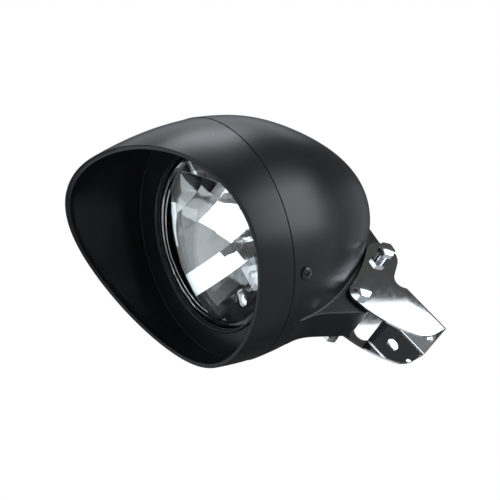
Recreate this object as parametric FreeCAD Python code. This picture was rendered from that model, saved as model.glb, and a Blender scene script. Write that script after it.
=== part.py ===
import FreeCAD, Part
import math
import os

# Bullet-shaped driving light for a motorbike: a round bowl with a foot, a scooped visor
# that carries a lens insert with its bulbs, and a bent sheet bracket under the tail.
# Millimetres. X points to the lamp's own left, Y to its rear and Z up. The pieces are drawn
# about the centre of the seam between bowl and visor, and moved at the end so that the
# origin is at the main bolt hole, on the rear face of the bracket's web.

V = FreeCAD.Vector

# Lens opening, and the shelf round it out to the lamp's rim
lens_opening_radius = 73.0
shelf_width = 28.1

# Bowl: round shell from the seam to the tail, with shape points as shares of length and radius
bowl_length = 152.3
bowl_wall = 2.5
bowl_rim_slope = 0.05
bowl_shape = ((0.262, 0.9535), (0.53, 0.798), (0.75, 0.599), (0.91, 0.367), (0.974, 0.193))

# Foot under the bowl: a keel that starts behind the seam, and lugs out to the bracket's flanges
foot_width = 38.0
keel_width = 34.0
keel_front = 4.0
keel_leave = 26.0
keel_lift = 0.3
keel_slope = 0.285
keel_straight = 33.0
knee_ahead = 2.3
knee_depth = 16.7
knee_round = 5.0
heel_radius = 11.5
lug_radius = 9.5
keel_edge_round = 1.0

# Visor: scooped hood, with its reach ahead of the seam at five places round the rim
visor_wall = 3.0
visor_tip_radius = 84.8
visor_seam_slope = 0.0334
reach_top = 92.6
reach_upper = 63.8
reach_side = 42.8
reach_lower = 31.9
reach_bottom = 33.9
visor_lip_round = 1.3

# Spigot of the visor inside the bowl, and the shelf in front of the lens
spigot_length = 20.0
spigot_wall = 2.0
spigot_gap = 0.3
shelf_face = 5.6
shelf_thickness = 2.0
shelf_lip = 1.6

# Screws that hold the visor in the bowl, each side of the bottom
visor_screw_setback = 11.5
visor_screw_angle = 35.4
visor_screw_diameter = 5.0
visor_screw_length = 12.0
spot_face_depth = 0.6
spot_face_gap = 0.8
square_nut_width = 8.0
square_nut_thickness = 4.0

# Pan-head screws: sizes of the head and its cross recess as shares of the diameter
head_share = 1.95
head_height_share = 0.65
recess_span_share = 1.1
recess_width_share = 0.225
recess_depth_share = 0.325

# Gaps round threads, in clearance holes and at seats
thread_gap = 0.1
hole_gap = 0.25
seat_gap = 0.15

# Lens insert: seal, glass and mirror dish
lens_rim_width = 5.0
seal_thickness = 1.5
glass_rim_thickness = 5.0
glass_dome_height = 14.2
glass_thickness = 4.0
glass_gap = 0.6
dish_depth = 58.0
dish_inset = 2.0
dish_wall = 2.5
dish_flange_thickness = 1.5
facet_count = 8
neck_radius = 24.0
neck_length = 3.5

# Ring that clamps the insert to bosses on the shelf
ring_thickness = 1.5
ring_width = 16.0
boss_count = 3
boss_radius = 4.5
boss_circle_gap = 8.0
ring_screw_diameter = 4.0
ring_screw_length = 6.5

# Main bulb with its cap, clip, boot and connector
bulb_hole_radius = 19.0
bulb_radius = 8.5
bulb_glass_wall = 1.0
bulb_length = 44.0
bulb_stem = 6.0
collar_radius = 21.5
collar_thickness = 1.5
collar_spigot = 3.0
cap_radius = 14.0
cap_wall = 0.8
cap_length = 12.0
blade_width = 8.0
blade_thickness = 0.8
blade_length = 9.0
blade_root = 5.0
blade_pitch = 8.5
filament_radius = 0.9
filament_length = 5.0
filament_post_radius = 0.5
cup_radius = 4.4
cup_wall = 0.5
cup_length = 7.0
clip_wire_radius = 0.8
clip_loop_radius = 17.0
clip_half_turn = 140.0
boot_wall = 1.8
boot_skirt = 4.0
boot_length = 11.5
connector_width = 27.0
connector_height = 22.0
connector_depth = 18.0
connector_round = 3.0
connector_gap = 1.0

# Pilot bulb below the main one and to the lamp's right
pilot_drop = 33.0
pilot_x = -19.0
pilot_radius = 5.0
pilot_length = 25.0
pilot_glass_wall = 0.7
pilot_boss_radius = 9.5
pilot_boss_length = 12.0
pilot_holder_radius = 6.8
pilot_holder_flange = 8.6
pilot_holder_length = 12.0
pilot_socket_depth = 8.0

# Cable grommet in the tail
grommet_bore_radius = 3.5
grommet_neck_radius = 6.0
grommet_flange_radius = 9.0
grommet_flange_thickness = 2.2
grommet_flat_depth = 1.0

# Bracket: two flanges round the bolts, joined by a web at the rear
sheet = 2.0
bend_radius = 2.0
upper_bolt_from_tail = 27.0
upper_bolt_drop = 16.3
bolt_spacing = 43.7
lower_bolt_drop = 14.5
nose_radius = 10.3
ear_radius = 14.5
toe_radius = 25.3
toe_behind = 39.4
toe_below = 29.8
front_edge_radius = 150.0
lower_edge_radius = 110.0
neck_notch_radius = 8.4
web_top_behind = 4.2
web_top_below = 35.1
web_length = 45.4
web_lean = 12.3
main_hole_diameter = 10.5
main_hole_down = 20.0
locating_hole_diameter = 6.2
locating_hole_up = 4.9

# Bracket bolts, nuts and washers
bolt_diameter = 8.0
bolt_length = 65.0
bolt_head_flats = 13.0
bolt_head_height = 5.3
bolt_chamfer = 0.9
upper_bolt_standoff = 5.4
nut_thickness = 6.5
lower_nut_standoff = 12.4
washer_radius = 8.0
washer_thickness = 1.6

# Worked out from the sizes above
rim_radius = lens_opening_radius + shelf_width
upper_bolt_setback = bowl_length - upper_bolt_from_tail
lower_bolt_setback = upper_bolt_setback - bolt_spacing
half_foot = foot_width / 2
half_bracket = half_foot + sheet
bolt_radius = bolt_diameter / 2
half_keel = keel_width / 2
visor_screw_radius = visor_screw_diameter / 2
ring_screw_radius = ring_screw_diameter / 2
seal_face = -shelf_face + shelf_thickness
glass_face = seal_face + seal_thickness
dish_face = glass_face + glass_rim_thickness
ring_face = dish_face + dish_flange_thickness
insert_radius = lens_opening_radius + lens_rim_width
dish_radius = lens_opening_radius - dish_inset
facet_pitch = 2 * dish_radius / facet_count
dish_curve = dish_depth / dish_radius ** 2
facet_sag = dish_curve * facet_pitch ** 2 / 2
dish_back = dish_face + dish_depth + facet_sag + dish_wall
bulb_seat = dish_back + neck_length - dish_wall
boss_circle = insert_radius + boss_circle_gap
FAR = 4 * rim_radius


def line(a, b):
    """Straight edge between two points."""
    return Part.LineSegment(a, b).toShape()


def turned(edges):
    """Solid turned about the lamp's axis from the edges of a half section in the XY plane."""
    face = Part.Face(Part.Wire(Part.__sortEdges__(edges)))
    return face.revolve(V(0, 0, 0), V(0, 1, 0), 360)


def turned_section(points):
    """Solid turned about the lamp's axis from (radius, y) corners."""
    corners = [V(radius, y, 0) for radius, y in points]
    return turned([line(a, b) for a, b in zip(corners, corners[1:] + corners[:1])])


def ring(inner, outer, front, rear):
    """Flat ring about the lamp's axis."""
    return turned_section([(inner, front), (outer, front), (outer, rear), (inner, rear)])


def rod_y(radius, x, z, front, rear):
    """Round bar along the lamp's axis direction."""
    return Part.makeCylinder(radius, rear - front, V(x, front, z), V(0, 1, 0))


def rod_x(radius, y, z, half_length):
    """Round bar across the lamp, centred on its middle plane."""
    return Part.makeCylinder(radius, 2 * half_length, V(-half_length, y, z), V(1, 0, 0))


def across(edges, half_width):
    """Solid of a closed outline in the YZ plane, spread evenly across the lamp."""
    face = Part.Face(Part.Wire(Part.__sortEdges__(edges)))
    face.translate(V(-half_width, 0, 0))
    return face.extrude(V(2 * half_width, 0, 0))


def across_corners(corners, half_width):
    """The same for an outline of straight sides."""
    return across([line(a, b) for a, b in zip(corners, corners[1:] + corners[:1])], half_width)


def placed(shape, at, towards):
    """Shape drawn about +Z, moved to a point and turned to face a direction."""
    moved = shape.copy()
    moved.Placement = FreeCAD.Placement(at, FreeCAD.Rotation(V(0, 0, 1), towards))
    return moved


def meet(a, from_a, b, from_b, side):
    """Point of the YZ plane at two distances from a and b, on one side of the way from a to b."""
    way = b - a
    gap = way.Length
    along = (from_a ** 2 - from_b ** 2 + gap ** 2) / (2 * gap)
    off = math.sqrt(from_a ** 2 - along ** 2)
    way = way / gap
    return a + way * along + V(0, -way.z, way.y) * (side * off)


def on_circle(centre, radius, towards):
    """Point of a circle in the direction of another point."""
    way = towards - centre
    return centre + way * (radius / way.Length)


def arc(centre, start, end, turn):
    """Arc in the YZ plane from start to end, turning +1 from Y to Z or -1 the other way."""
    radius = start.distanceToPoint(centre)
    first = math.atan2(start.z - centre.z, start.y - centre.y)
    last = math.atan2(end.z - centre.z, end.y - centre.y)
    sweep = (last - first) * turn % (2 * math.pi)
    middle = first + turn * sweep / 2
    through = centre + V(0, math.cos(middle), math.sin(middle)) * radius
    return Part.Arc(start, through, end).toShape()


def bowl_curve(radius, length):
    """Half section of the bowl, from its rim to its tail."""
    points = [V(radius, 0, 0)]
    points += [V(radius * share, length * along, 0) for along, share in bowl_shape]
    points.append(V(0, length, 0))
    curve = Part.BSplineCurve()
    curve.interpolate(Points=points, InitialTangent=V(-bowl_rim_slope, 1, 0), FinalTangent=V(-1, 0, 0))
    return curve


def curve_radius(curve, y):
    """Radius of a bowl curve at a distance behind the seam."""
    low, high = curve.FirstParameter, curve.LastParameter
    for _ in range(50):
        middle = (low + high) / 2
        if curve.value(middle).y < y:
            low = middle
        else:
            high = middle
    return curve.value(low).x


def visor_radius(reach):
    """Outer radius of the visor at a distance ahead of the seam."""
    bow = (rim_radius - visor_seam_slope * reach_top - visor_tip_radius) / reach_top ** 2
    return rim_radius - visor_seam_slope * reach - bow * reach ** 2


def visor_curve(inset, reach):
    """Half section of the visor's wall, a parabola from the seam forwards."""
    start = V(visor_radius(0) - inset, 0, 0)
    middle = V(rim_radius - inset - visor_seam_slope * reach / 2, -reach / 2, 0)
    curve = Part.BezierCurve()
    curve.setPoles([start, middle, V(visor_radius(reach) - inset, -reach, 0)])
    return curve.toShape()


def dome(radius, edge_y, height):
    """Arc of a round dome, from its edge to its crown on the axis."""
    ball = (radius ** 2 + height ** 2) / (2 * height)
    half_turn = math.asin(radius / ball) / 2
    centre_y = edge_y - height + ball
    middle = V(ball * math.sin(half_turn), centre_y - ball * math.cos(half_turn), 0)
    return Part.Arc(V(radius, edge_y, 0), middle, V(0, edge_y - height, 0)).toShape()


outer_bowl = bowl_curve(rim_radius, bowl_length)
inner_bowl = bowl_curve(rim_radius - bowl_wall, bowl_length - bowl_wall)
lower_bolt = V(0, lower_bolt_setback, -curve_radius(outer_bowl, lower_bolt_setback) - lower_bolt_drop)
upper_bolt = V(0, upper_bolt_setback, -curve_radius(outer_bowl, upper_bolt_setback) - upper_bolt_drop)
visor_screw_seat = curve_radius(outer_bowl, visor_screw_setback) - spot_face_depth


def spigot_radius(y):
    """Outer radius of the visor's spigot, a cone that clears the bowl's inside."""
    front = curve_radius(inner_bowl, 0) - spigot_gap
    rear = curve_radius(inner_bowl, spigot_length) - spigot_gap
    return front + (rear - front) * y / spigot_length


def visor_screw_places():
    """Seat and outward direction of each visor screw."""
    for side in (-1, 1):
        turn = math.radians(visor_screw_angle)
        outward = V(side * math.sin(turn), 0, -math.cos(turn))
        yield outward * visor_screw_seat + V(0, visor_screw_setback, 0), outward


def boss_places():
    """Centres of the shelf's bosses, the first one at the top."""
    for index in range(boss_count):
        turn = 2 * math.pi * index / boss_count
        yield boss_circle * math.sin(turn), boss_circle * math.cos(turn)


def bowl_filling(curve, length):
    """Solid inside a bowl curve."""
    tail = V(0, length, 0)
    start = curve.value(curve.FirstParameter)
    return turned([curve.toShape(), line(tail, V(0, 0, 0)), line(V(0, 0, 0), start)])


def keel_outline():
    """Side view of the keel: along the bowl, straight to the knee, and round the upper bolt."""
    knee = lower_bolt + V(0, -knee_ahead, -knee_depth)
    slope = V(0, 1, -keel_slope) / math.hypot(1, keel_slope)
    heel_way = math.sqrt(knee.distanceToPoint(upper_bolt) ** 2 - heel_radius ** 2)
    touch = meet(upper_bolt, heel_radius, knee, heel_way, 1)
    rise = (touch - knee) / heel_way
    cut_back = knee_round * math.tan(slope.getAngle(rise) / 2)
    knee_start = knee - slope * cut_back
    knee_end = knee + rise * cut_back
    knee_centre = knee_start + V(0, keel_slope, 1) * (knee_round / math.hypot(1, keel_slope))
    bend_end = knee - slope * keel_straight
    under = [V(0, y, -curve_radius(outer_bowl, y) - keel_lift)
             for y in (keel_front, (keel_front + keel_leave) / 2, keel_leave)]
    bend = Part.BSplineCurve()
    bend.interpolate(Points=under + [bend_end], InitialTangent=under[1] - under[0], FinalTangent=slope)
    rear = upper_bolt + V(0, heel_radius, 0)
    rear_top = V(0, rear.y, 0)
    front_top = V(0, keel_front, 0)
    return [
        bend.toShape(), line(bend_end, knee_start), arc(knee_centre, knee_start, knee_end, 1),
        line(knee_end, touch), arc(upper_bolt, touch, rear, 1), line(rear, rear_top),
        line(rear_top, front_top), line(front_top, under[0])]


def make_foot():
    """Keel with rounded lower edges, and lugs round the two bolt holes."""
    keel = across(keel_outline(), half_keel)
    low_edges = []
    for edge in keel.Edges:
        level = all(abs(abs(corner.X) - half_keel) < 1e-6 for corner in edge.Vertexes)
        low = all(corner.Z < -heel_radius for corner in edge.Vertexes)
        upright = abs(edge.tangentAt(edge.FirstParameter).z) > 0.9999
        if level and low and not upright:
            low_edges.append(edge)
    foot = keel.makeFillet(keel_edge_round, low_edges)
    way = upper_bolt - lower_bolt
    side = V(0, -way.z, way.y) * (lug_radius / way.Length)
    lug = across([
        line(lower_bolt + side, upper_bolt + side), arc(upper_bolt, upper_bolt + side, upper_bolt - side, -1),
        line(upper_bolt - side, lower_bolt - side), arc(lower_bolt, lower_bolt - side, lower_bolt + side, -1)],
        half_foot)
    return foot.fuse(lug)


def make_bowl():
    """Bowl shell with its foot, spot faces and holes."""
    hollow = bowl_filling(inner_bowl, bowl_length - bowl_wall)
    shell = bowl_filling(outer_bowl, bowl_length).fuse(make_foot()).cut(hollow)
    for bolt in (lower_bolt, upper_bolt):
        shell = shell.cut(rod_x(bolt_radius + hole_gap, bolt.y, bolt.z, half_bracket))
    for seat, outward in visor_screw_places():
        spot = Part.makeCylinder(visor_screw_radius * head_share + spot_face_gap, 4 * bowl_wall)
        hole = Part.makeCylinder(visor_screw_radius + hole_gap, 4 * bowl_wall, V(0, 0, -3 * bowl_wall))
        shell = shell.cut(placed(spot.fuse(hole).removeSplitter(), seat, outward))
    tail_flat = bowl_length - grommet_flat_depth
    shell = shell.cut(rod_y(grommet_flange_radius + hole_gap, 0, 0, tail_flat, FAR))
    inner_flat = bowl_length - bowl_wall - grommet_flange_thickness
    shell = shell.cut(rod_y(grommet_neck_radius + hole_gap, 0, 0, inner_flat, FAR))
    return shell.removeSplitter()


def make_visor():
    """Scooped hood with its rounded lip, the lens shelf, the bosses and the spigot."""
    margin = 3 * visor_wall
    reach = reach_top + margin
    tip = V(visor_radius(reach), -reach, 0)
    seam_out = V(rim_radius, 0, 0)
    wall = V(visor_wall, 0, 0)
    hood = turned([
        visor_curve(0, reach), line(tip, tip - wall), visor_curve(visor_wall, reach),
        line(seam_out - wall, seam_out)])
    top = V(0, -reach_top, visor_radius(reach_top))
    upper = V(0, -reach_upper, visor_radius(reach_upper) / 2)
    lower = V(0, -reach_lower, -visor_radius(reach_lower) / 2)
    bottom = V(0, -reach_bottom, -visor_radius(reach_bottom))
    rim = Part.BSplineCurve()
    rim.interpolate(Points=[top, upper, V(0, -reach_side, 0), lower, bottom])
    leave_top = rim.tangent(rim.FirstParameter)[0]
    leave_bottom = rim.tangent(rim.LastParameter)[0]
    past_top = top - leave_top * margin
    past_bottom = bottom + leave_bottom * margin
    ahead_top = V(0, -FAR, past_top.z)
    ahead_bottom = V(0, -FAR, past_bottom.z)
    scoop = across([
        line(past_top, top), rim.toShape(), line(bottom, past_bottom),
        line(past_bottom, ahead_bottom), line(ahead_bottom, ahead_top), line(ahead_top, past_top)],
        2 * rim_radius)
    hood = hood.cut(scoop)
    lip_faces = [face for face in hood.Faces if face.Surface.TypeId == "Part::GeomSurfaceOfExtrusion"]
    lip_edges = [edge for face in lip_faces for edge in face.Edges]
    hood = hood.makeFillet(min(visor_lip_round, 0.45 * visor_wall), lip_edges)

    spigot_front = spigot_radius(0)
    spigot_rear = spigot_radius(spigot_length)
    in_wall = rim_radius - visor_wall / 2
    carrier = turned_section([
        (lens_opening_radius, -shelf_face), (in_wall, -shelf_face), (in_wall, 0), (spigot_front, 0),
        (spigot_rear, spigot_length), (spigot_rear - spigot_wall, spigot_length),
        (spigot_front - spigot_wall, seal_face), (lens_opening_radius, seal_face)])
    lip = Part.makeTorus(lens_opening_radius + shelf_lip, shelf_lip, V(0, -shelf_face, 0), V(0, 1, 0))
    visor = hood.fuse(carrier).fuse(lip)
    for x, z in boss_places():
        visor = visor.fuse(rod_y(boss_radius, x, z, seal_face - shelf_thickness / 2, ring_face))
    for x, z in boss_places():
        visor = visor.cut(rod_y(ring_screw_radius + thread_gap, x, z, seal_face, ring_face))
    for seat, outward in visor_screw_places():
        hole = Part.makeCylinder(
            visor_screw_radius + hole_gap, visor_screw_length, V(0, 0, -visor_screw_length))
        visor = visor.cut(placed(hole, seat, outward))
    return visor.removeSplitter()


def pan_screw(diameter, length):
    """Pan-head screw with a cross recess: head above z = 0, shank below."""
    head_radius = diameter * head_share / 2
    head_height = diameter * head_height_share
    recess_depth = diameter * recess_depth_share
    crown = Part.makeSphere((head_radius ** 2 + head_height ** 2) / (2 * head_height) * 1.15)
    crown.translate(V(0, 0, head_height - crown.BoundBox.ZMax))
    head = Part.makeCylinder(head_radius, head_height).common(crown)
    floor = V(0, 0, head_height - recess_depth)
    span = diameter * recess_span_share
    width = diameter * recess_width_share
    for along, over in ((span, width), (width, span)):
        head = head.cut(Part.makeBox(along, over, recess_depth, floor - V(along / 2, over / 2, 0)))
    return head.fuse(Part.makeCylinder(diameter / 2, length, V(0, 0, -length))).removeSplitter()


def make_visor_screws():
    """The two screws through the bowl into the visor's spigot."""
    screw = pan_screw(visor_screw_diameter, visor_screw_length)
    return Part.makeCompound([placed(screw, seat, outward) for seat, outward in visor_screw_places()])


def make_visor_screw_nuts():
    """Square nuts on those screws, inside the spigot."""
    width = square_nut_width
    nut = Part.makeBox(width, width, square_nut_thickness, V(-width / 2, -width / 2, -square_nut_thickness))
    nut = nut.cut(Part.makeCylinder(visor_screw_radius + thread_gap, FAR, V(0, 0, -FAR / 2)))
    inner = spigot_radius(visor_screw_setback + width / 2) - spigot_wall
    seat_radius = math.sqrt(inner ** 2 - (width / 2) ** 2) - seat_gap
    return Part.makeCompound([
        placed(nut, outward * seat_radius + V(0, visor_screw_setback, 0), outward)
        for _, outward in visor_screw_places()])


def make_lens_glass():
    """Clear domed lens with a flat rim."""
    dome_radius = lens_opening_radius - glass_gap
    inner_radius = dome_radius - glass_thickness
    crown = glass_face - glass_dome_height
    rim_front = V(insert_radius, glass_face, 0)
    rim_back = V(insert_radius, dish_face, 0)
    inner_height = dish_face - crown - glass_thickness
    return turned([
        dome(dome_radius, glass_face, glass_dome_height), line(V(dome_radius, glass_face, 0), rim_front),
        line(rim_front, rim_back), line(rim_back, V(inner_radius, dish_face, 0)),
        dome(inner_radius, dish_face, inner_height), line(V(0, crown, 0), V(0, crown + glass_thickness, 0))])


def facet_corner(column, row):
    """Corner of the dish's facets: neighbours are tangent planes of one paraboloid."""
    x = -dish_radius + column * facet_pitch
    z = -dish_radius + row * facet_pitch
    return V(x, dish_face + dish_depth + facet_sag - dish_curve * (x * x + z * z), z)


def dish_hollow():
    """Inside of the mirror dish, a net of flat facets under a round mouth."""
    cells = range(facet_count)
    stations = range(facet_count + 1)
    faces = []
    for column in cells:
        for row in cells:
            corners = [facet_corner(column, row), facet_corner(column + 1, row),
                       facet_corner(column + 1, row + 1), facet_corner(column, row + 1)]
            faces.append(Part.Face(Part.makePolygon(corners + corners[:1])))
    front_y = -FAR
    last = facet_count
    for edge in ([(0, n) for n in stations], [(last, n) for n in stations],
                 [(n, 0) for n in stations], [(n, last) for n in stations]):
        lower = [facet_corner(column, row) for column, row in edge]
        upper = [V(lower[-1].x, front_y, lower[-1].z), V(lower[0].x, front_y, lower[0].z)]
        faces.append(Part.Face(Part.makePolygon(lower + upper + lower[:1])))
    mouth = [V(side_x * dish_radius, front_y, side_z * dish_radius)
             for side_x, side_z in ((-1, -1), (1, -1), (1, 1), (-1, 1))]
    faces.append(Part.Face(Part.makePolygon(mouth + mouth[:1])))
    net = Part.makeSolid(Part.makeShell(faces))
    if net.Volume < 0:
        net.reverse()
    return net.common(rod_y(dish_radius, 0, 0, dish_face - dish_wall, dish_back))


def make_reflector():
    """Faceted mirror dish with its flange, bulb neck and pilot boss."""
    body_radius = dish_radius + dish_wall
    rim = V(body_radius, dish_face, 0)
    back = Part.BezierCurve()
    back.setPoles([rim, V(body_radius / 2, dish_back, 0), V(0, dish_back, 0)])
    centre = V(0, dish_face, 0)
    body = turned([back.toShape(), line(V(0, dish_back, 0), centre), line(centre, rim)])
    body = body.fuse(ring(dish_radius, insert_radius, dish_face, ring_face))
    body = body.fuse(rod_y(neck_radius, 0, 0, dish_face, bulb_seat))
    pilot_back = pilot_wall_y() + pilot_boss_length
    body = body.fuse(rod_y(pilot_boss_radius, pilot_x, -pilot_drop, dish_face, pilot_back))
    body = body.cut(dish_hollow())
    body = body.cut(rod_y(bulb_hole_radius, 0, 0, dish_face, FAR))
    body = body.cut(rod_y(pilot_holder_radius + hole_gap, pilot_x, -pilot_drop, dish_face, FAR))
    return body.removeSplitter()


def pilot_wall_y():
    """Where the dish's mirror face lies at the pilot bulb."""
    return dish_face + dish_depth - dish_curve * (pilot_x ** 2 + pilot_drop ** 2)


def make_retaining_ring():
    """Ring behind the dish's flange, screwed to the bosses."""
    inner = dish_radius + dish_wall + hole_gap
    clamp = ring(inner, inner + ring_width, ring_face, ring_face + ring_thickness)
    for x, z in boss_places():
        clamp = clamp.cut(rod_y(ring_screw_radius + hole_gap, x, z, ring_face, ring_face + ring_thickness))
    return clamp


def make_retaining_screws():
    """Screws that pull the ring onto the bosses."""
    screw = pan_screw(ring_screw_diameter, ring_screw_length)
    rear = ring_face + ring_thickness
    return Part.makeCompound([placed(screw, V(x, rear, z), V(0, 1, 0)) for x, z in boss_places()])


def make_bulb_glass():
    """Tubular bulb with a rounded tip, hollow, standing in its collar."""
    tip_y = bulb_seat - bulb_length
    rear = bulb_seat + bulb_stem
    inside = bulb_radius - bulb_glass_wall
    outer = rod_y(bulb_radius, 0, 0, tip_y + bulb_radius, rear)
    outer = outer.fuse(Part.makeSphere(bulb_radius, V(0, tip_y + bulb_radius, 0)))
    hollow = rod_y(inside, 0, 0, tip_y + bulb_radius, rear - bulb_glass_wall)
    hollow = hollow.fuse(Part.makeSphere(inside, V(0, tip_y + bulb_radius, 0)))
    return outer.cut(hollow).removeSplitter()


def make_bulb_filaments():
    """Two filaments on their posts, with the cup under the dipped-beam one."""
    floor = bulb_seat + bulb_stem - bulb_glass_wall
    main_y = bulb_seat - bulb_length / 2 + filament_length
    dip_y = main_y - 2 * filament_length
    post_out = 2 * filament_radius
    pieces = []
    for centre_y, lift in ((main_y, 0), (dip_y, filament_radius)):
        coil = rod_y(filament_radius, 0, lift, centre_y - filament_length / 2, centre_y + filament_length / 2)
        for end in (-1, 1):
            post_y = centre_y + end * (filament_length / 2 - filament_post_radius)
            foot_x = end * post_out
            arm = Part.makeCylinder(filament_post_radius, post_out, V(0, post_y, lift), V(end, 0, 0))
            post = rod_y(filament_post_radius, foot_x, lift, post_y - filament_post_radius, floor)
            coil = coil.fuse(arm).fuse(post)
        pieces.append(coil)
    posts = pieces[0].fuse(pieces[1])
    cup = rod_y(cup_radius, 0, 0, dip_y - cup_length / 2, dip_y + cup_length / 2)
    cup = cup.cut(rod_y(cup_radius - cup_wall, 0, 0, dip_y - cup_length / 2 + cup_wall, dip_y + cup_length / 2))
    cup = cup.cut(Part.makeBox(FAR, FAR, FAR, V(-FAR / 2, -FAR / 2, 0)))
    stay_z = -cup_radius + cup_wall / 2
    stay = rod_y(filament_post_radius, 0, stay_z, dip_y + cup_length / 2 - cup_wall, floor)
    return Part.makeCompound([posts, cup.fuse(stay)])


def make_bulb_collar():
    """Pressed cap of the bulb: locating flange, spigot in the dish's hole and rear sleeve."""
    bore = bulb_radius + seat_gap
    flange_rear = bulb_seat + collar_thickness
    sleeve_rear = bulb_seat + cap_length
    return turned_section([
        (bore, bulb_seat - collar_spigot), (bulb_hole_radius - hole_gap, bulb_seat - collar_spigot),
        (bulb_hole_radius - hole_gap, bulb_seat), (collar_radius, bulb_seat), (collar_radius, flange_rear),
        (cap_radius, flange_rear), (cap_radius, sleeve_rear), (cap_radius - cap_wall, sleeve_rear),
        (cap_radius - cap_wall, flange_rear), (bore, flange_rear)])


def blade_places():
    """Middle and half extents across the lamp of each terminal blade."""
    half_wide = blade_width / 2
    half_thin = blade_thickness / 2
    yield 0, blade_pitch - half_wide / 2, half_wide, half_thin
    yield -blade_pitch, -half_wide / 2, half_thin, half_wide
    yield blade_pitch, -half_wide / 2, half_thin, half_wide


def blades(front, rear, grow):
    """Bars of the three blades' outline, grown by a gap."""
    bars = []
    for x, z, half_x, half_z in blade_places():
        corner = V(x - half_x - grow, front, z - half_z - grow)
        bars.append(Part.makeBox(2 * (half_x + grow), rear - front, 2 * (half_z + grow), corner))
    return bars


def make_bulb_base():
    """Insulating plug in the cap's sleeve, round the bulb's stem and the blades' roots."""
    flange_rear = bulb_seat + collar_thickness
    rear = bulb_seat + cap_length
    plug = rod_y(cap_radius - cap_wall - seat_gap, 0, 0, flange_rear, rear)
    plug = plug.cut(rod_y(bulb_radius + seat_gap, 0, 0, flange_rear, bulb_seat + bulb_stem))
    for bar in blades(rear - blade_root, rear, 0):
        plug = plug.cut(bar)
    return plug


def make_bulb_terminals():
    """Three flat blades out of the back of the cap."""
    rear = bulb_seat + cap_length
    return Part.makeCompound(blades(rear - blade_root, rear + blade_length, 0))


def make_bulb_clip():
    """Wire spring behind the collar: an open loop with two legs to the neck's edge."""
    wire_y = bulb_seat + collar_thickness + clip_wire_radius
    turn = math.radians(clip_half_turn)
    left = V(clip_loop_radius * math.sin(turn), wire_y, clip_loop_radius * math.cos(turn))
    right = V(-left.x, wire_y, left.z)
    leg_end = math.sqrt((neck_radius - 2 * clip_wire_radius) ** 2 - left.x ** 2)
    leg = V(0, 0, -leg_end - left.z)
    loop = Part.Arc(left, V(0, wire_y, clip_loop_radius), right).toShape()
    path = Part.Wire([line(left + leg, left), loop, line(right, right + leg)])
    section = Part.Wire(Part.Circle(left + leg, V(0, 0, 1), clip_wire_radius).toShape())
    return path.makePipeShell([section], True, False, 2)


def make_dust_boot():
    """Rubber cover pulled over the neck, narrowing to the bulb's sleeve."""
    skirt_front = bulb_seat - boot_skirt
    shoulder = bulb_seat + collar_thickness + 2 * clip_wire_radius + seat_gap
    mouth = bulb_seat + boot_length
    grip = cap_radius + seat_gap
    inner = neck_radius + seat_gap
    return turned_section([
        (inner, skirt_front), (inner + boot_wall, skirt_front), (inner + boot_wall, shoulder + boot_wall),
        (grip + boot_wall, shoulder + 2 * boot_wall), (grip + boot_wall, mouth),
        (grip, mouth), (grip, shoulder), (inner, shoulder)])


def make_bulb_connector():
    """Three-way socket block pushed onto the blades."""
    front = bulb_seat + cap_length + connector_gap
    half_x = connector_width / 2
    half_z = connector_height / 2
    block = Part.makeBox(connector_width, connector_depth, connector_height, V(-half_x, front, -half_z))
    long_edges = [edge for edge in block.Edges if abs(edge.tangentAt(edge.FirstParameter).y) > 0.99]
    block = block.makeFillet(connector_round, long_edges)
    for bar in blades(front, bulb_seat + cap_length + blade_length + connector_gap, seat_gap):
        block = block.cut(bar)
    return block


def make_pilot_bulb():
    """Capless bulb: hollow glass with a rounded tip and a solid wedge foot in the holder."""
    rear = pilot_wall_y() + pilot_boss_length - pilot_holder_length + pilot_socket_depth
    tip = rear - pilot_length
    inside = pilot_radius - pilot_glass_wall
    centre = V(pilot_x, tip + pilot_radius, -pilot_drop)
    outer = rod_y(pilot_radius, centre.x, centre.z, centre.y, rear)
    outer = outer.fuse(Part.makeSphere(pilot_radius, centre))
    hollow = rod_y(inside, centre.x, centre.z, centre.y, rear - pilot_socket_depth)
    hollow = hollow.fuse(Part.makeSphere(inside, centre))
    return outer.cut(hollow).removeSplitter()


def make_pilot_holder():
    """Twist-in socket with a flange behind the pilot boss."""
    seat = pilot_wall_y() + pilot_boss_length
    front = seat - pilot_holder_length
    x, z = pilot_x, -pilot_drop
    body = rod_y(pilot_holder_radius, x, z, front, seat + pilot_socket_depth)
    body = body.fuse(rod_y(pilot_holder_flange, x, z, seat, seat + pilot_holder_flange / 3))
    return body.cut(rod_y(pilot_radius + seat_gap, x, z, front, front + pilot_socket_depth))


def make_cable_grommet():
    """Rubber ring with a flange each side of the tail's wall."""
    outside = bowl_length - grommet_flat_depth
    inside = bowl_length - bowl_wall
    return turned_section([
        (grommet_bore_radius, inside - grommet_flange_thickness),
        (grommet_neck_radius, inside - grommet_flange_thickness),
        (grommet_neck_radius, outside), (grommet_flange_radius, outside),
        (grommet_flange_radius - grommet_flange_thickness / 2, outside + grommet_flange_thickness),
        (grommet_bore_radius, outside + grommet_flange_thickness)])


web_top = upper_bolt + V(0, web_top_behind, -web_top_below)
web_down = V(0, math.sin(math.radians(web_lean)), -math.cos(math.radians(web_lean)))
web_forward = V(0, web_down.z, -web_down.y)
web_bottom = web_top + web_down * web_length
main_hole = web_top + web_down * main_hole_down
locating_hole = web_bottom - web_down * locating_hole_up


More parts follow.
